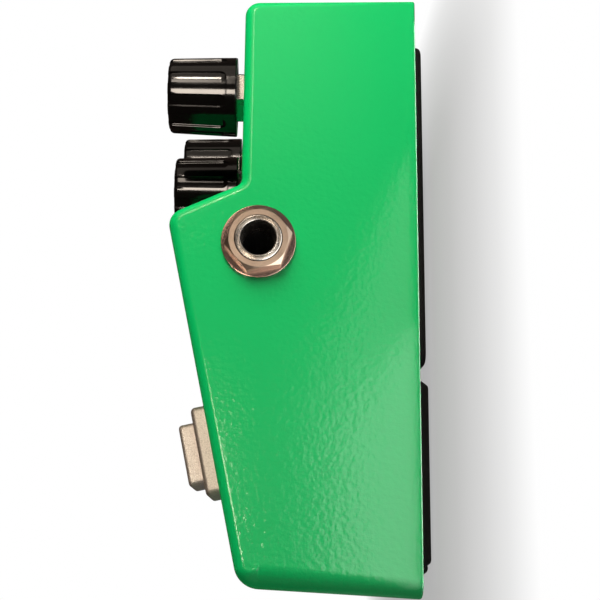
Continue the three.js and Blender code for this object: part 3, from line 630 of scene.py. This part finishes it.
def housing():
    case = rim_softened(case_solid("case", 0))
    inner = case_solid("cavity", WALL)
    outer = case.copy()
    outer.data = case.data.copy()
    bpy.context.scene.collection.objects.link(outer)
    carved(case, [inner])
    posts = case_posts()
    for post in posts:
        fitting = outer.copy()
        fitting.data = outer.data.copy()
        bpy.context.scene.collection.objects.link(fitting)
        carved(post, [fitting], "INTERSECT")
    bpy.data.objects.remove(outer)
    carved(case, posts, "UNION")
    seat = 2
    x, y = HALF_WIDTH - seat, REAR - seat
    recess = made("seat", tablet(-x, x, -y, y, 2.8, [(RIM - 1, 0), (PLATE_BOTTOM + 1.25, 0)]))
    hooks = [
        block("hook", side * 16 - 5.3, side * 16 + 5.3, -61.3, -59, PLATE_BOTTOM - 0.1, PLATE_BOTTOM + 1.25)
        for side in (-1, 1)
    ]
    carved(case, [recess, *hooks, *case_holes()])
    case.name = "case_shell"
    return dressed(case, green_paint(), "case", "case_paint", "housing", crease=28)


# ---------------------------------------------------------------- mat, door and screws


def rear_mat():
    low, high = box_mm("rear_mat")
    mat = tablet(low.x, high.x, low.y, high.y, 3, edges(low.z, high.z, 1.1, 0.15, 6))
    return dressed(made("rear_mat_rubber", mat), mat_rubber(), "case", "mat_rubber", "rear_mat")


DOOR_CHAMFER = 1.5
DOOR_FRONT = -57.0
DOOR_CORNER = 2.5
PAD_ROOM = 0.1  # between the pad and the sides of its recess


def door_plate():
    """The door's body: wide at the base plate, narrowing to its outer face, with softened edges."""
    low, high = box_mm("battery_door")
    top = PLATE_BOTTOM - 0.3
    stations = [(low.z, DOOR_CHAMFER + 0.5), (low.z + 0.12, DOOR_CHAMFER + 0.18)]
    stations += [(low.z + 0.45, DOOR_CHAMFER - 0.1)]
    stations += [(top - 0.5, 0.32), (top - 0.15, 0.08), (top, 0.1)]
    return made("door_plate", tablet(low.x, high.x, DOOR_FRONT, high.y, DOOR_CORNER, stations))


def battery_door():
    door = door_plate()
    low, high = box_mm("battery_door")
    pin = centre_mm("hinge_pin")
    reach = box_mm("hinge_pin")[1].x
    across = Matrix.Translation((0, pin.y, pin.z)) @ ACROSS
    ridge = block("ridge", -25, 25, -52.8, -24.8, RIM - 0.65, high.z)
    inside = block("inside", -23.8, 23.8, -51.6, -26.0, RIM - 0.15, high.z + 1)
    carved(door, [carved(ridge, [inside])], "UNION")
    knuckles = [(-reach, -20), (-14, 14), (20, reach)]
    carved(door, [cylinder("knuckle", 1.2, a, b, across, 40) for a, b in knuckles], "UNION")
    cutters = []
    for side in (-1, 1):
        a, b = sorted((side * 13.7, side * 20.3))
        cutters.append(block("swing", a, b, pin.y - 3, pin.y + 1.45, -1, 4))
    cutters.append(cylinder("bore", 0.58, -reach - 1, reach + 1, across, 24))
    pad_low, pad_high = box_mm("door_pad")
    pad = [(-1, 0), (pad_high.z + GAP, 0)]
    across_pad = pad_low.x - PAD_ROOM, pad_high.x + PAD_ROOM
    along_pad = pad_low.y - PAD_ROOM, pad_high.y + PAD_ROOM
    cutters.append(made("pad", tablet(*across_pad, *along_pad, 2.1, pad)))
    carved(door, cutters)
    plastic = satin_plastic("door_plastic", (0.014, 0.0135, 0.0125), 0.12)
    return dressed(door, plastic, "door", "door_plastic", "battery_door")


def door_pad():
    low, high = box_mm("door_pad")
    pad = tablet(low.x, high.x, low.y, high.y, 2, edges(low.z, high.z, 0.12, 0.05, 4))
    rubber = bpy.data.materials["mat_rubber"]
    return dressed(made("door_rubber", pad), rubber, "door", "mat_rubber", "door_pad")


def cross_slot(place, reach, depth):
    """Cutters for a cross recess in a screw head whose face is at height 0 and points down."""
    arms = []
    for turn in (0, math.pi / 2):
        turned = place @ Matrix.Rotation(turn, 4, "Z")
        arms.append(block("arm", -reach, reach, -0.28, 0.28, -0.5, depth, turned))
    return arms


def screw(name, node, head, head_height, shank, body, slot_turn):
    """A pan-head screw that points up, with a cross recess in its head."""
    low, high = box_mm(node)
    at = (low + high) / 2
    profile = [(0, 0)]
    for k in range(7):
        a = math.pi / 2 * k / 6
        profile.append((head * (0.72 + 0.28 * math.sin(a)), head_height * 0.62 * (1 - math.cos(a))))
    profile += [(head, head_height), (shank, head_height), (shank, high.z - low.z - 0.6)]
    profile += [(shank - 0.5, high.z - low.z), (0, high.z - low.z)]
    place = Matrix.Translation((at.x, at.y, low.z))
    piece = made(name, lathe(profile, 48), place)
    carved(piece, cross_slot(place @ Matrix.Rotation(slot_turn, 4, "Z"), head * 0.55, 0.42))
    return dressed(piece, bpy.data.materials["plated_steel"], body, "screw_steel", node)


def base_screws():
    for i, node in enumerate(SCREW_NODES):
        screw(f"{node}_fine", node, 2.6, 0.6, 1.5, "case", 0.4 + 0.7 * i)


# ---------------------------------------------------------------- knobs and pots

FLUTES = 10
FLUTE_HALF = math.radians(9.6)
FLUTE_DEPTH = 0.45
FLUTE_WALL = 0.16  # the share of a flute's half width that its side wall takes
FLUTE_STATIONS = (-1, -0.96, -0.92, -0.88, -0.84, -0.4, 0, 0.4, 0.84, 0.88, 0.92, 0.96)
FLUTE_PHASE = {"level": 7.0, "tone": -1.9, "drive": 14.0}


def flute_width(height, end, run):
    """How wide a flute is at a height, as a share: full above, closing in a half circle at its lower end."""
    t = (height - end) / run
    if t <= 0:
        return 0.0
    return math.sqrt(max(1 - (1 - min(t, 1)) ** 2, 0))


def knob_rows(base, top, height):
    """Heights up the side of a knob, each with its radius and its flutes' share of full width."""
    end, run, chamfer = height * 0.15, 1.4, 0.9
    heights = [0.0, 0.12, 0.3, 1.2, end - 0.15]
    heights += [end + run * (1 - math.cos(math.pi / 2 * k / 9)) for k in range(10)]
    heights += [end + run + (height - chamfer - end - run) * k / 5 for k in range(1, 6)]
    rows = []
    for z in heights:
        radius = base + (top - base) * z / height
        radius -= 0.12 * max(0, 1 - z / 0.3)
        rows.append((z, radius, flute_width(z, end, run)))
    for k in range(1, 5):
        a = math.pi / 2 * k / 4
        radius = top - chamfer * (1 - math.cos(a))
        rows.append((height - chamfer * (1 - math.sin(a)), radius, 1.0))
    return rows


def knob_ring(z, radius, share, phase):
    """One closed loop of a fluted knob. The points keep to the flutes' edges whatever their width."""
    pitch = 2 * math.pi / FLUTES
    half = max(FLUTE_HALF * share, 1e-3)
    depth = FLUTE_DEPTH * share
    points = []
    for i in range(FLUTES):
        middle = phase + i * pitch
        for t in FLUTE_STATIONS:
            wall = min((1 - abs(t)) / FLUTE_WALL, 1)
            points.append((middle + t * half, radius - depth * wall * wall * (3 - 2 * wall)))
        for k in range(6):
            points.append((middle + half + (pitch - 2 * half) * k / 6, radius))
    return [Vector((r * math.cos(a), r * math.sin(a), z)) for a, r in points]


def knob(name):
    low, high = box_mm(f"{name}_knob")
    at = (low + high) / 2
    height = high.z - low.z
    base = (high.y - low.y) / 2
    top = base - 0.55
    phase = math.radians(FLUTE_PHASE[name])
    loops = [knob_ring(z, r, share, phase) for z, r, share in knob_rows(base, top, height)]
    rim = loops[-1]
    dish = Vector((0, 0, 0.25))
    loops.append([p * 0.93 + Vector((0, 0, p.z * 0.07)) for p in rim])
    loops.append([p * 0.9 + Vector((0, 0, p.z * 0.1)) - dish for p in rim])
    place = Matrix.Translation((at.x, at.y, low.z))
    piece = made(f"{name}_knob_fluted", lofted(loops), place)
    bore = cylinder("bore", 3.08, -1, 11, place, 64)
    well = cylinder("well", 6.4, -1, 2.8, place, 96)
    slot = pointer_slot(height, top, place)
    carved(piece, [bore, well, slot])
    black = bpy.data.materials["knob_black"]
    dressed(piece, black, f"{name}_control", "knob_plastic", f"{name}_knob", crease=22)
    pointer(name, height, top, place)


POINTER_WIDTH = 0.9


def pointer_slot(height, top, place):
    """The groove across the top of a knob that its pointer lies in, towards the rear."""
    half = POINTER_WIDTH / 2 + 0.03
    return block("slot", -half, half, 1.5, top * 0.9, height - 0.55, height + 1, place)


def pointer(name, height, top, place):
    half = POINTER_WIDTH / 2
    stations = edges(height - 0.5, height - 0.12, 0.02, 0.1, 3)
    line = tablet(-half, half, 1.55, top * 0.9 - 0.05, 0.2, stations)
    piece = made(f"{name}_pointer", line, place)
    dressed(piece, bpy.data.materials["inlay_white"], f"{name}_control", "knob_plastic")


def hex_nut(name, across, bore, z0, z1, place, chamfer=math.radians(28)):
    """A hexagon nut whose corners are turned off to a circle on its outer face."""
    corner = across / math.sqrt(3)
    turns = [math.pi / 3 * k for k in range(6)]
    hexagon = [(corner * math.cos(a), corner * math.sin(a), 0.25) for a in turns]
    outline = rounded(hexagon, 3)
    nut = made(name, lofted([[p.to_3d() + Vector((0, 0, z)) for p in outline] for z in (z0, z1)]), place)
    flat = across / 2 - 0.1
    reach = corner + 2
    fall = (reach - flat) * math.tan(chamfer)
    cone = [(0, z0 - 5), (reach, z0 - 5), (reach, z1 - fall), (flat, z1 + 0.02), (0, z1 + 0.02)]
    carved(nut, [made("cone", lathe(cone, 96), place)], "INTERSECT")
    mouth = [(0, z0 - 1), (bore, z0 - 1), (bore, z1 - 0.1), (bore + 0.1, z1 + 0.1), (0, z1 + 0.1)]
    return carved(nut, [made("mouth", lathe(mouth, 64), place)])


POT_NUT_TURN = 33.6


def pot(name):
    """What shows of a control below its knob: the panel nut and the end of the shaft's bushing."""
    low, high = box_mm(f"{name}_pot_nut")
    at = (low + high) / 2
    turn = Matrix.Rotation(math.radians(POT_NUT_TURN), 4, "Z")
    place = Matrix.Translation((at.x, at.y, 0)) @ turn
    nut = hex_nut(f"{name}_panel_nut", 10, 3.55, low.z, high.z, place)
    metal = turned_metal(f"{name}_nut_metal", (0.3, 0.28, 0.25), 0.25, 2, at)
    dressed(nut, metal, "case", "nickel", f"{name}_pot_nut", crease=18)


# ---------------------------------------------------------------- jacks


NUT_TURN = 11.0


def jack(name):
    side = JACK_SIDES[name]
    low, high = box_mm(f"{name}_jack_sleeve")
    at = (low + high) / 2
    face = HALF_WIDTH
    turn = Matrix.Rotation(math.pi if side < 0 else 0, 4, "Z")
    place = Matrix.Translation((0, at.y, at.z)) @ turn @ ACROSS
    end = abs(high.x if side > 0 else low.x)
    # Painted light: the washer's brown tint is a painted reddish reflection, and the sleeve is a lighter copy
    # of the nickel that paints the bright rings it shows.
    metal = turned_metal(f"{name}_jack_metal", (0.29, 0.22, 0.165), 0.3, 0, at)
    bright = turned_metal(f"{name}_sleeve_lit_nickel", (0.42, 0.385, 0.34), 0.24, 0, at)
    washer_reflection_tint = turned_metal(f"{name}_washer_reflection_nickel", (0.36, 0.24, 0.19), 0.14, 0, at)
    sleeve_profile = [(3.3, 30.55), (4.7, 30.55)]
    sleeve_profile += threads(4.7, face + 0.9, end - 0.45)
    sleeve_profile += [(4.7, end - 0.5), (4.66, end - 0.25), (4.5, end - 0.2), (4.44, end - 1.4)]
    sleeve_profile += [(3.94, end - 1.4), (3.9, end - 0.08), (3.84, end), (3.72, end), (3.62, end - 0.1)]
    sleeve_profile += [(3.52, end - 0.5), (3.3, end - 1.1)]
    sleeve = made(f"{name}_sleeve", lathe(sleeve_profile, 128), place)
    dressed(sleeve, bright, "case", "nickel", f"{name}_jack_sleeve")
    inner, outer = 4.9, 7.55
    back, top = face + GAP, face + 0.8
    ring = softened([(inner, back), (outer, back), (outer, top), (inner, top)], 0.14)
    washer = made(f"{name}_washer", lathe(ring, 128), place)
    dressed(washer, washer_reflection_tint, "case", "nickel", f"{name}_jack_washer")
    spin = place @ Matrix.Rotation(math.radians(NUT_TURN), 4, "Z")
    nut = hex_nut(f"{name}_nut", 12, 4.8, face + 0.85, face + 3, spin)
    dressed(nut, metal, "case", "nickel", f"{name}_jack_nut", crease=18)


def threads(radius, start, end, pitch=0.75, depth=0.28):
    """The crests and roots of a thread seen in section."""
    points = []
    z = start
    while z + pitch < end:
        points += [(radius, z), (radius - depth, z + pitch * 0.5)]
        z += pitch
    return points


# ---------------------------------------------------------------- lamp and DC socket


LEG_X = 1.27
LEG_HALF = 0.25


def lamp():
    low, high = box_mm("led_bezel")
    at = (low + high) / 2
    place = Matrix.Translation((at.x, at.y, 0))
    ring = [(2.6, low.z), (3.2, low.z), (3.2, PANEL + GAP), (4.2, PANEL + GAP)]
    for k in range(9):
        a = math.pi * k / 8
        ring.append((3.65 + 0.55 * math.cos(a), PANEL + 0.5 + 0.6 * math.sin(a)))
    ring += [(3.1, PANEL + 0.35), (2.6, PANEL + 0.1)]
    bezel = made("lamp_bezel", lathe(ring, 96), place)
    dressed(bezel, bpy.data.materials["black_plastic"], "case", "moulded_black", "led_bezel")
    base, tip = PANEL - 6, box_mm("led_lamp")[1].z
    profile = [(0, base), (2.45, base), (2.5, base + 0.1), (2.5, tip - 2.5)]
    for k in range(1, 13):
        a = math.pi / 2 * k / 12
        profile.append((2.5 * math.cos(a), tip - 2.5 + 2.5 * math.sin(a)))
    lens = made("lamp_lens", lathe(profile, 64), place)
    dressed(lens, red_lens(), "case", "lamp_red", "led_lamp")
    for side in (-1, 1):
        x = side * LEG_X
        span = [(box_mm("led_lamp")[0].z, 0), (base + GAP, 0)]
        leg = tablet(x - LEG_HALF, x + LEG_HALF, -LEG_HALF, LEG_HALF, 0.08, span)
        wire = made(f"lamp_leg_{'right' if side > 0 else 'left'}", leg, place)
        dressed(wire, bpy.data.materials["plated_steel"], "case", "lamp_red")


def dc_socket():
    pin_low, pin_high = box_mm("dc_jack_pin")
    pin = (pin_low + pin_high) / 2
    low, high = box_mm("dc_jack_body")
    outwards = Matrix.Translation((pin.x, 0, pin.z)) @ Matrix.Rotation(-math.pi / 2, 4, "X")
    front = high.y - WALL
    shell = made("socket", tablet(low.x, high.x, low.y, front, 0.6, edges(low.z, high.z, 0.3, 0.3, 3)))
    collar = [(0, front - 1), (4.4, front - 1), (4.4, high.y - 0.3), (4.1, high.y), (0, high.y)]
    carved(shell, [made("collar", lathe(collar, 96), outwards)], "UNION")
    mouth = [(0, front - 9), (2.9, front - 9), (2.9, high.y - 0.6), (3.4, high.y + 0.1), (0, high.y + 0.1)]
    bore = cylinder("bore", 1.05, front - 12, REAR, outwards, 32)
    carved(shell, [made("mouth", lathe(mouth, 96), outwards), bore])
    shell.name = "dc_socket_shell"
    dressed(shell, bpy.data.materials["black_plastic"], "case", "moulded_black", "dc_jack_body")
    end = pin_high.y
    profile = [(0, pin_low.y), (1, pin_low.y), (1, end - 0.7)]
    for k in range(1, 7):
        a = math.pi / 2 * k / 6
        profile.append((math.cos(a), end - 0.7 + 0.7 * math.sin(a)))
    metal = turned_metal("dc_pin_metal", (0.7, 0.66, 0.6), 0.22, 1, pin)
    dressed(made("dc_socket_pin", lathe(profile, 48), outwards), metal, "case", "nickel", "dc_jack_pin")


# ---------------------------------------------------------------- footswitch

CAP_BOTTOM, CAP_TOP = 3.0, 6.8
FRAME_TOP = 3.5
STEM = 3.0
BOSS_X = 8.5


def switch_frame():
    half_x, half_y = 13.0, 9.65
    block_shape = tablet(-half_x, half_x, -half_y, half_y, 1.6, edges(GAP, FRAME_TOP, 0.05, 1.0, 7))
    piece = made("footswitch_surround", block_shape, SWITCH_PLACE)
    feet = [SWITCH_PLACE @ Matrix.Translation((side * BOSS_X, 0, 0)) for side in (-1, 1)]
    for foot in feet:
        carved(piece, [cylinder("boss", 2, -2.6, 0.9, foot, 40)], "UNION")
    well = tablet(-10.55, 10.55, -7.05, 7.05, 1.1, [(0.9, 0), (FRAME_TOP - 0.35, 0), (FRAME_TOP + 0.1, -0.4)])
    cutters = [made("well", well, SWITCH_PLACE), cylinder("stem", 3.15, -6, 4, SWITCH_PLACE)]
    for foot in feet:
        cutters.append(cylinder("bore", 1.05, -6, 0, foot, 24))
    carved(piece, cutters)
    dressed(piece, bpy.data.materials["blasted_metal"], "case", "switch_cast", "footswitch_frame")


def switch_button():
    cap = tablet(-10.25, 10.25, -6.75, 6.75, 1.3, edges(CAP_BOTTOM, CAP_TOP, 0.1, 0.8, 7))
    piece = made("footswitch_cap", cap, SWITCH_PLACE)
    room = lathe([(3, 0), (5.2, 0), (5.2, CAP_TOP - 1.3), (3, CAP_TOP - 1.3)], 64)
    carved(piece, [made("room", room, SWITCH_PLACE)])
    low = -5.6
    clip_low, clip_high = -4.4, -3.75
    neck = 2.2
    stem = [(0, low), (STEM - 0.3, low), (STEM, low + 0.3), (STEM, clip_low), (neck, clip_low)]
    stem += [(neck, clip_high), (STEM, clip_high), (STEM, CAP_TOP - 1), (0, CAP_TOP - 1)]
    carved(piece, [made("stem", lathe(stem, 64), SWITCH_PLACE)], "UNION")
    dressed(piece, bpy.data.materials["blasted_metal"], "footswitch", "switch_cast", "footswitch_button")


def coil(radius, wire, low, high, turns, steps=180, sides=12):
    """A round wire wound about Z."""
    loops = []
    for i in range(steps + 1):
        t = i / steps
        a = 2 * math.pi * turns * t
        outward = Vector((math.cos(a), math.sin(a), 0))
        centre = outward * radius + Vector((0, 0, low + (high - low) * t))
        ring = [2 * math.pi * k / sides for k in range(sides)]
        round_wire = [outward * wire * math.cos(b) + Vector((0, 0, wire * math.sin(b))) for b in ring]
        loops.append([centre + offset for offset in round_wire])
    return lofted(loops)


def return_spring():
    low, high = 0.9 + 0.35, CAP_TOP - 1.3 - 0.35
    piece = made("return_spring_coil", coil(4.2, 0.28, low, high, 3), SWITCH_PLACE)
    dressed(piece, bpy.data.materials["plated_steel"], "case", "spring_steel", "return_spring", crease=60)
    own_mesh(piece)


# ---------------------------------------------------------------- inner pieces kept from the CAD


def kept(node, look, crease=35, width=0.0):
    """A CAD node that stays, with its own material and softened edges."""
    piece = frame["nodes"][node]
    piece.data.materials.clear()
    piece.data.materials.append(look)
    if width:
        step = piece.modifiers.new("edges", "BEVEL")
        step.width = width * MM
        step.segments = 2
        step.limit_method = "ANGLE"
        step.angle_limit = math.radians(crease)
    piece.data.shade_smooth()
    piece.data.set_sharp_from_angle(angle=math.radians(crease))


def inner_pieces():
    steel = bpy.data.materials["plated_steel"]
    black = bpy.data.materials["black_plastic"]
    board = circuit_green()
    brass = contact_metal()
    white = wire_plastic("white_sleeve", (0.62, 0.6, 0.54))
    kept("base_plate", steel, width=0.12)
    for node in ("hinge_pin", "stem_clip", "switch_bracket"):
        kept(node, steel)
    for hand in ("right", "left"):
        kept(f"board_screw_{hand}", steel)
        kept(f"frame_screw_{hand}", steel)
    for knob_name in KNOB_NAMES:
        kept(f"{knob_name}_pot", steel)
        kept(f"{knob_name}_shaft", brass)
    for side in JACK_SIDES:
        kept(f"{side}_jack_body", black)
        kept(f"{side}_tip_spring", brass, width=0.08)
        kept(f"{side}_jack_lead", white, crease=70)
    kept("switch_lead", white, crease=70)
    kept("switch_plunger", white)
    for node in ("battery_tray", "battery_snap", "push_switch", "op_amp"):
        kept(node, black, width=0.15)
    kept("main_board", board)
    kept("switch_board", board)
    sleeve = wire_plastic("capacitor_sleeve", (0.012, 0.02, 0.06))
    kept("capacitor_left", sleeve)
    kept("capacitor_right", sleeve)
    kept("battery", battery_can(), width=0.3)
    kept("battery_lead_red", wire_plastic("red_wire", (0.4, 0.01, 0.008)), crease=70)
    kept("battery_lead_black", wire_plastic("black_wire", (0.012, 0.012, 0.012)), crease=70)


# ---------------------------------------------------------------- floor, light and camera


# The painted shadow on the floor: how bright the floor is painted at a distance in metres from a box round
# the foot of the pedal.
FLOOR_PAINTED_SHADOW = ((0.0, 0.48), (0.02, 0.55), (0.042, 0.68), (0.058, 0.81), (0.074, 1.0))
SHADOW_MIDDLE = (0, -28, 0)
SHADOW_HALF = (35, 50, 0)
SHADOW_WEIGHT = (1, 2, 1)  # how much each axis counts in that distance
FLOOR_BOUNCE = 0.22  # the share of it that lights the pedal from below
WORLD_FILL = 0.05


def floor():
    """A pale floor, darker close to the pedal by a painted shadow in its emitted brightness rather than a
    cast one, that fades into the white backdrop and is clear from below.
    """
    bm = bmesh.new()
    bmesh.ops.create_grid(bm, x_segments=40, y_segments=40, size=3000)
    piece = made("floor", bm, Matrix.Translation((0, 0, -0.02)))
    look = Look("floor_white", (0.8, 0.8, 0.8), 0.9, Specular_IOR_Level=0.1)
    look.bump(look.noise(900, 2), 0.01)
    nodes, links = look.nodes, look.links
    beyond = look.beyond(Vector(SHADOW_MIDDLE) * MM, Vector(SHADOW_HALF) * MM, SHADOW_WEIGHT)
    # painted shadow: the floor's emitted brightness is lowered near the pedal instead of the pedal shading it
    painted_shadow = look.curve(beyond, FLOOR_PAINTED_SHADOW)
    glow = nodes.new("ShaderNodeEmission")
    seen = nodes.new("ShaderNodeLightPath").outputs["Is Camera Ray"]
    links.new(look.maths("MULTIPLY", painted_shadow, look.remap(seen, 0, 1, FLOOR_BOUNCE, 1)), glow.inputs["Strength"])
    fade = nodes.new("ShaderNodeMixShader")
    links.new(look.remap(beyond, 0.0, 0.08, 0.9, 1.0), fade.inputs[0])
    links.new(look.shader.outputs[0], fade.inputs[1])
    links.new(glow.outputs[0], fade.inputs[2])
    clear = nodes.new("ShaderNodeBsdfTransparent")
    under = nodes.new("ShaderNodeNewGeometry")
    sides = nodes.new("ShaderNodeMixShader")
    links.new(under.outputs["Backfacing"], sides.inputs[0])
    links.new(fade.outputs[0], sides.inputs[1])
    links.new(clear.outputs[0], sides.inputs[2])
    links.new(sides.outputs[0], nodes["Material Output"].inputs["Surface"])
    piece.data.materials.append(look.material)


def world():
    """White to the camera; to everything else, a dim warm room."""
    backdrop = bpy.data.worlds.new("studio")
    bpy.context.scene.world = backdrop
    backdrop.use_nodes = True
    nodes, links = backdrop.node_tree.nodes, backdrop.node_tree.links
    fill = nodes["Background"]
    fill.inputs["Color"].default_value = (1, 0.66, 0.52, 1)
    fill.inputs["Strength"].default_value = WORLD_FILL
    white = nodes.new("ShaderNodeBackground")
    white.inputs["Strength"].default_value = 1.0
    white.inputs["Color"].default_value = (1, 1, 1, 1)
    path = nodes.new("ShaderNodeLightPath")
    pick = nodes.new("ShaderNodeMixShader")
    links.new(path.outputs["Is Camera Ray"], pick.inputs[0])
    links.new(fill.outputs[0], pick.inputs[1])
    links.new(white.outputs[0], pick.inputs[2])
    links.new(pick.outputs[0], nodes["World Output"].inputs["Surface"])


def softbox(name, place, aim, width, height, radiance, colour=(1, 1, 1), matt=True, gloss=True):
    """A rectangular light, unseen by the camera, that is radiance times as bright as the white backdrop.
    matt and gloss say whether it lights matt surfaces and whether glossy ones mirror it."""
    lamp_data = bpy.data.lights.new(name, "AREA")
    lamp_data.shape = "RECTANGLE"
    lamp_data.size = width * MM
    lamp_data.size_y = height * MM
    lamp_data.energy = radiance * math.pi * width * height * MM * MM
    lamp_data.color = colour
    light = bpy.data.objects.new(name, lamp_data)
    light.location = Vector(place) * MM
    direction = Vector(aim) - Vector(place)
    light.rotation_mode = "QUATERNION"
    light.rotation_quaternion = direction.to_track_quat("-Z", "Y")
    light.visible_camera = False
    light.visible_diffuse = matt
    light.visible_glossy = gloss
    bpy.context.scene.collection.objects.link(light)


WARM = (1.0, 0.87, 0.74)


def studio():
    softbox("main", (222, 215, 85), (30, 20, 25), 240, 200, 9, WARM, gloss=False)
    softbox("rear", (270, 380, 150), (30, 20, 25), 420, 360, 0.7, WARM)
    softbox("front", (100, -300, 40), (30, -40, 25), 200, 160, 1.7, WARM, gloss=False)
    softbox("top", (-120, -40, 330), (0, 0, 30), 260, 260, 0.9, WARM, gloss=False)
    softbox("left", (-300, 20, 120), (0, 0, 25), 260, 200, 2.5, WARM, gloss=False)
    softbox("window", (573, -25, 143), (30, 20, 40), 120, 105, 27, WARM, matt=False)
    softbox("window_rear", (515, 264, 145), (30, 40, 37), 150, 80, 10, WARM, matt=False)
    softbox("spot", (463, 380, 130), (30, 40, 40), 40, 50, 90, WARM, matt=False)
    softbox("table", (155, -45, 1), (155, -45, 100), 210, 80, 3.5, matt=False)
    softbox("table_wide", (255, -38, 2), (255, -38, 100), 410, 145, 2.8, matt=False)
    softbox("kerb", (35.2, -3, 0.4), (35.2, -3, 100), 1.6, 122, 25, matt=False)


CAMERA_PLACE = Vector((238.1, -51.9, 33.4))
CAMERA_AIM = Vector((0, 3.5, 25.55))
CAMERA_ROLL = 0.588  # degrees, from having the rear of the pedal straight up in the picture
CAMERA_LENS = 62.95


def camera():
    data = bpy.data.cameras.new("camera")
    data.lens = CAMERA_LENS
    data.sensor_width = 36
    data.clip_start = 0.01
    eye = bpy.data.objects.new("camera", data)
    forward = (CAMERA_AIM - CAMERA_PLACE).normalized()
    right = forward.cross(Vector((0, 1, 0))).normalized()
    up = right.cross(forward)
    turn = Matrix((right, up, -forward)).transposed().to_4x4()
    place = Matrix.Translation(CAMERA_PLACE * MM)
    eye.matrix_world = place @ turn @ Matrix.Rotation(math.radians(CAMERA_ROLL), 4, "Z")
    bpy.context.scene.collection.objects.link(eye)
    bpy.context.scene.camera = eye


# ---------------------------------------------------------------- the pedal

knob_black()
inlay_white()
plated_steel()
blasted_metal()
satin_plastic("black_plastic", (0.014, 0.014, 0.014))

housing()
rear_mat()
battery_door()
door_pad()
base_screws()
for control in KNOB_NAMES:
    knob(control)
    pot(control)
for jack_name in JACK_SIDES:
    jack(jack_name)
lamp()
dc_socket()
switch_frame()
switch_button()
return_spring()
inner_pieces()

floor()
world()
studio()
camera()
bpy.context.scene.view_settings.view_transform = "Standard"
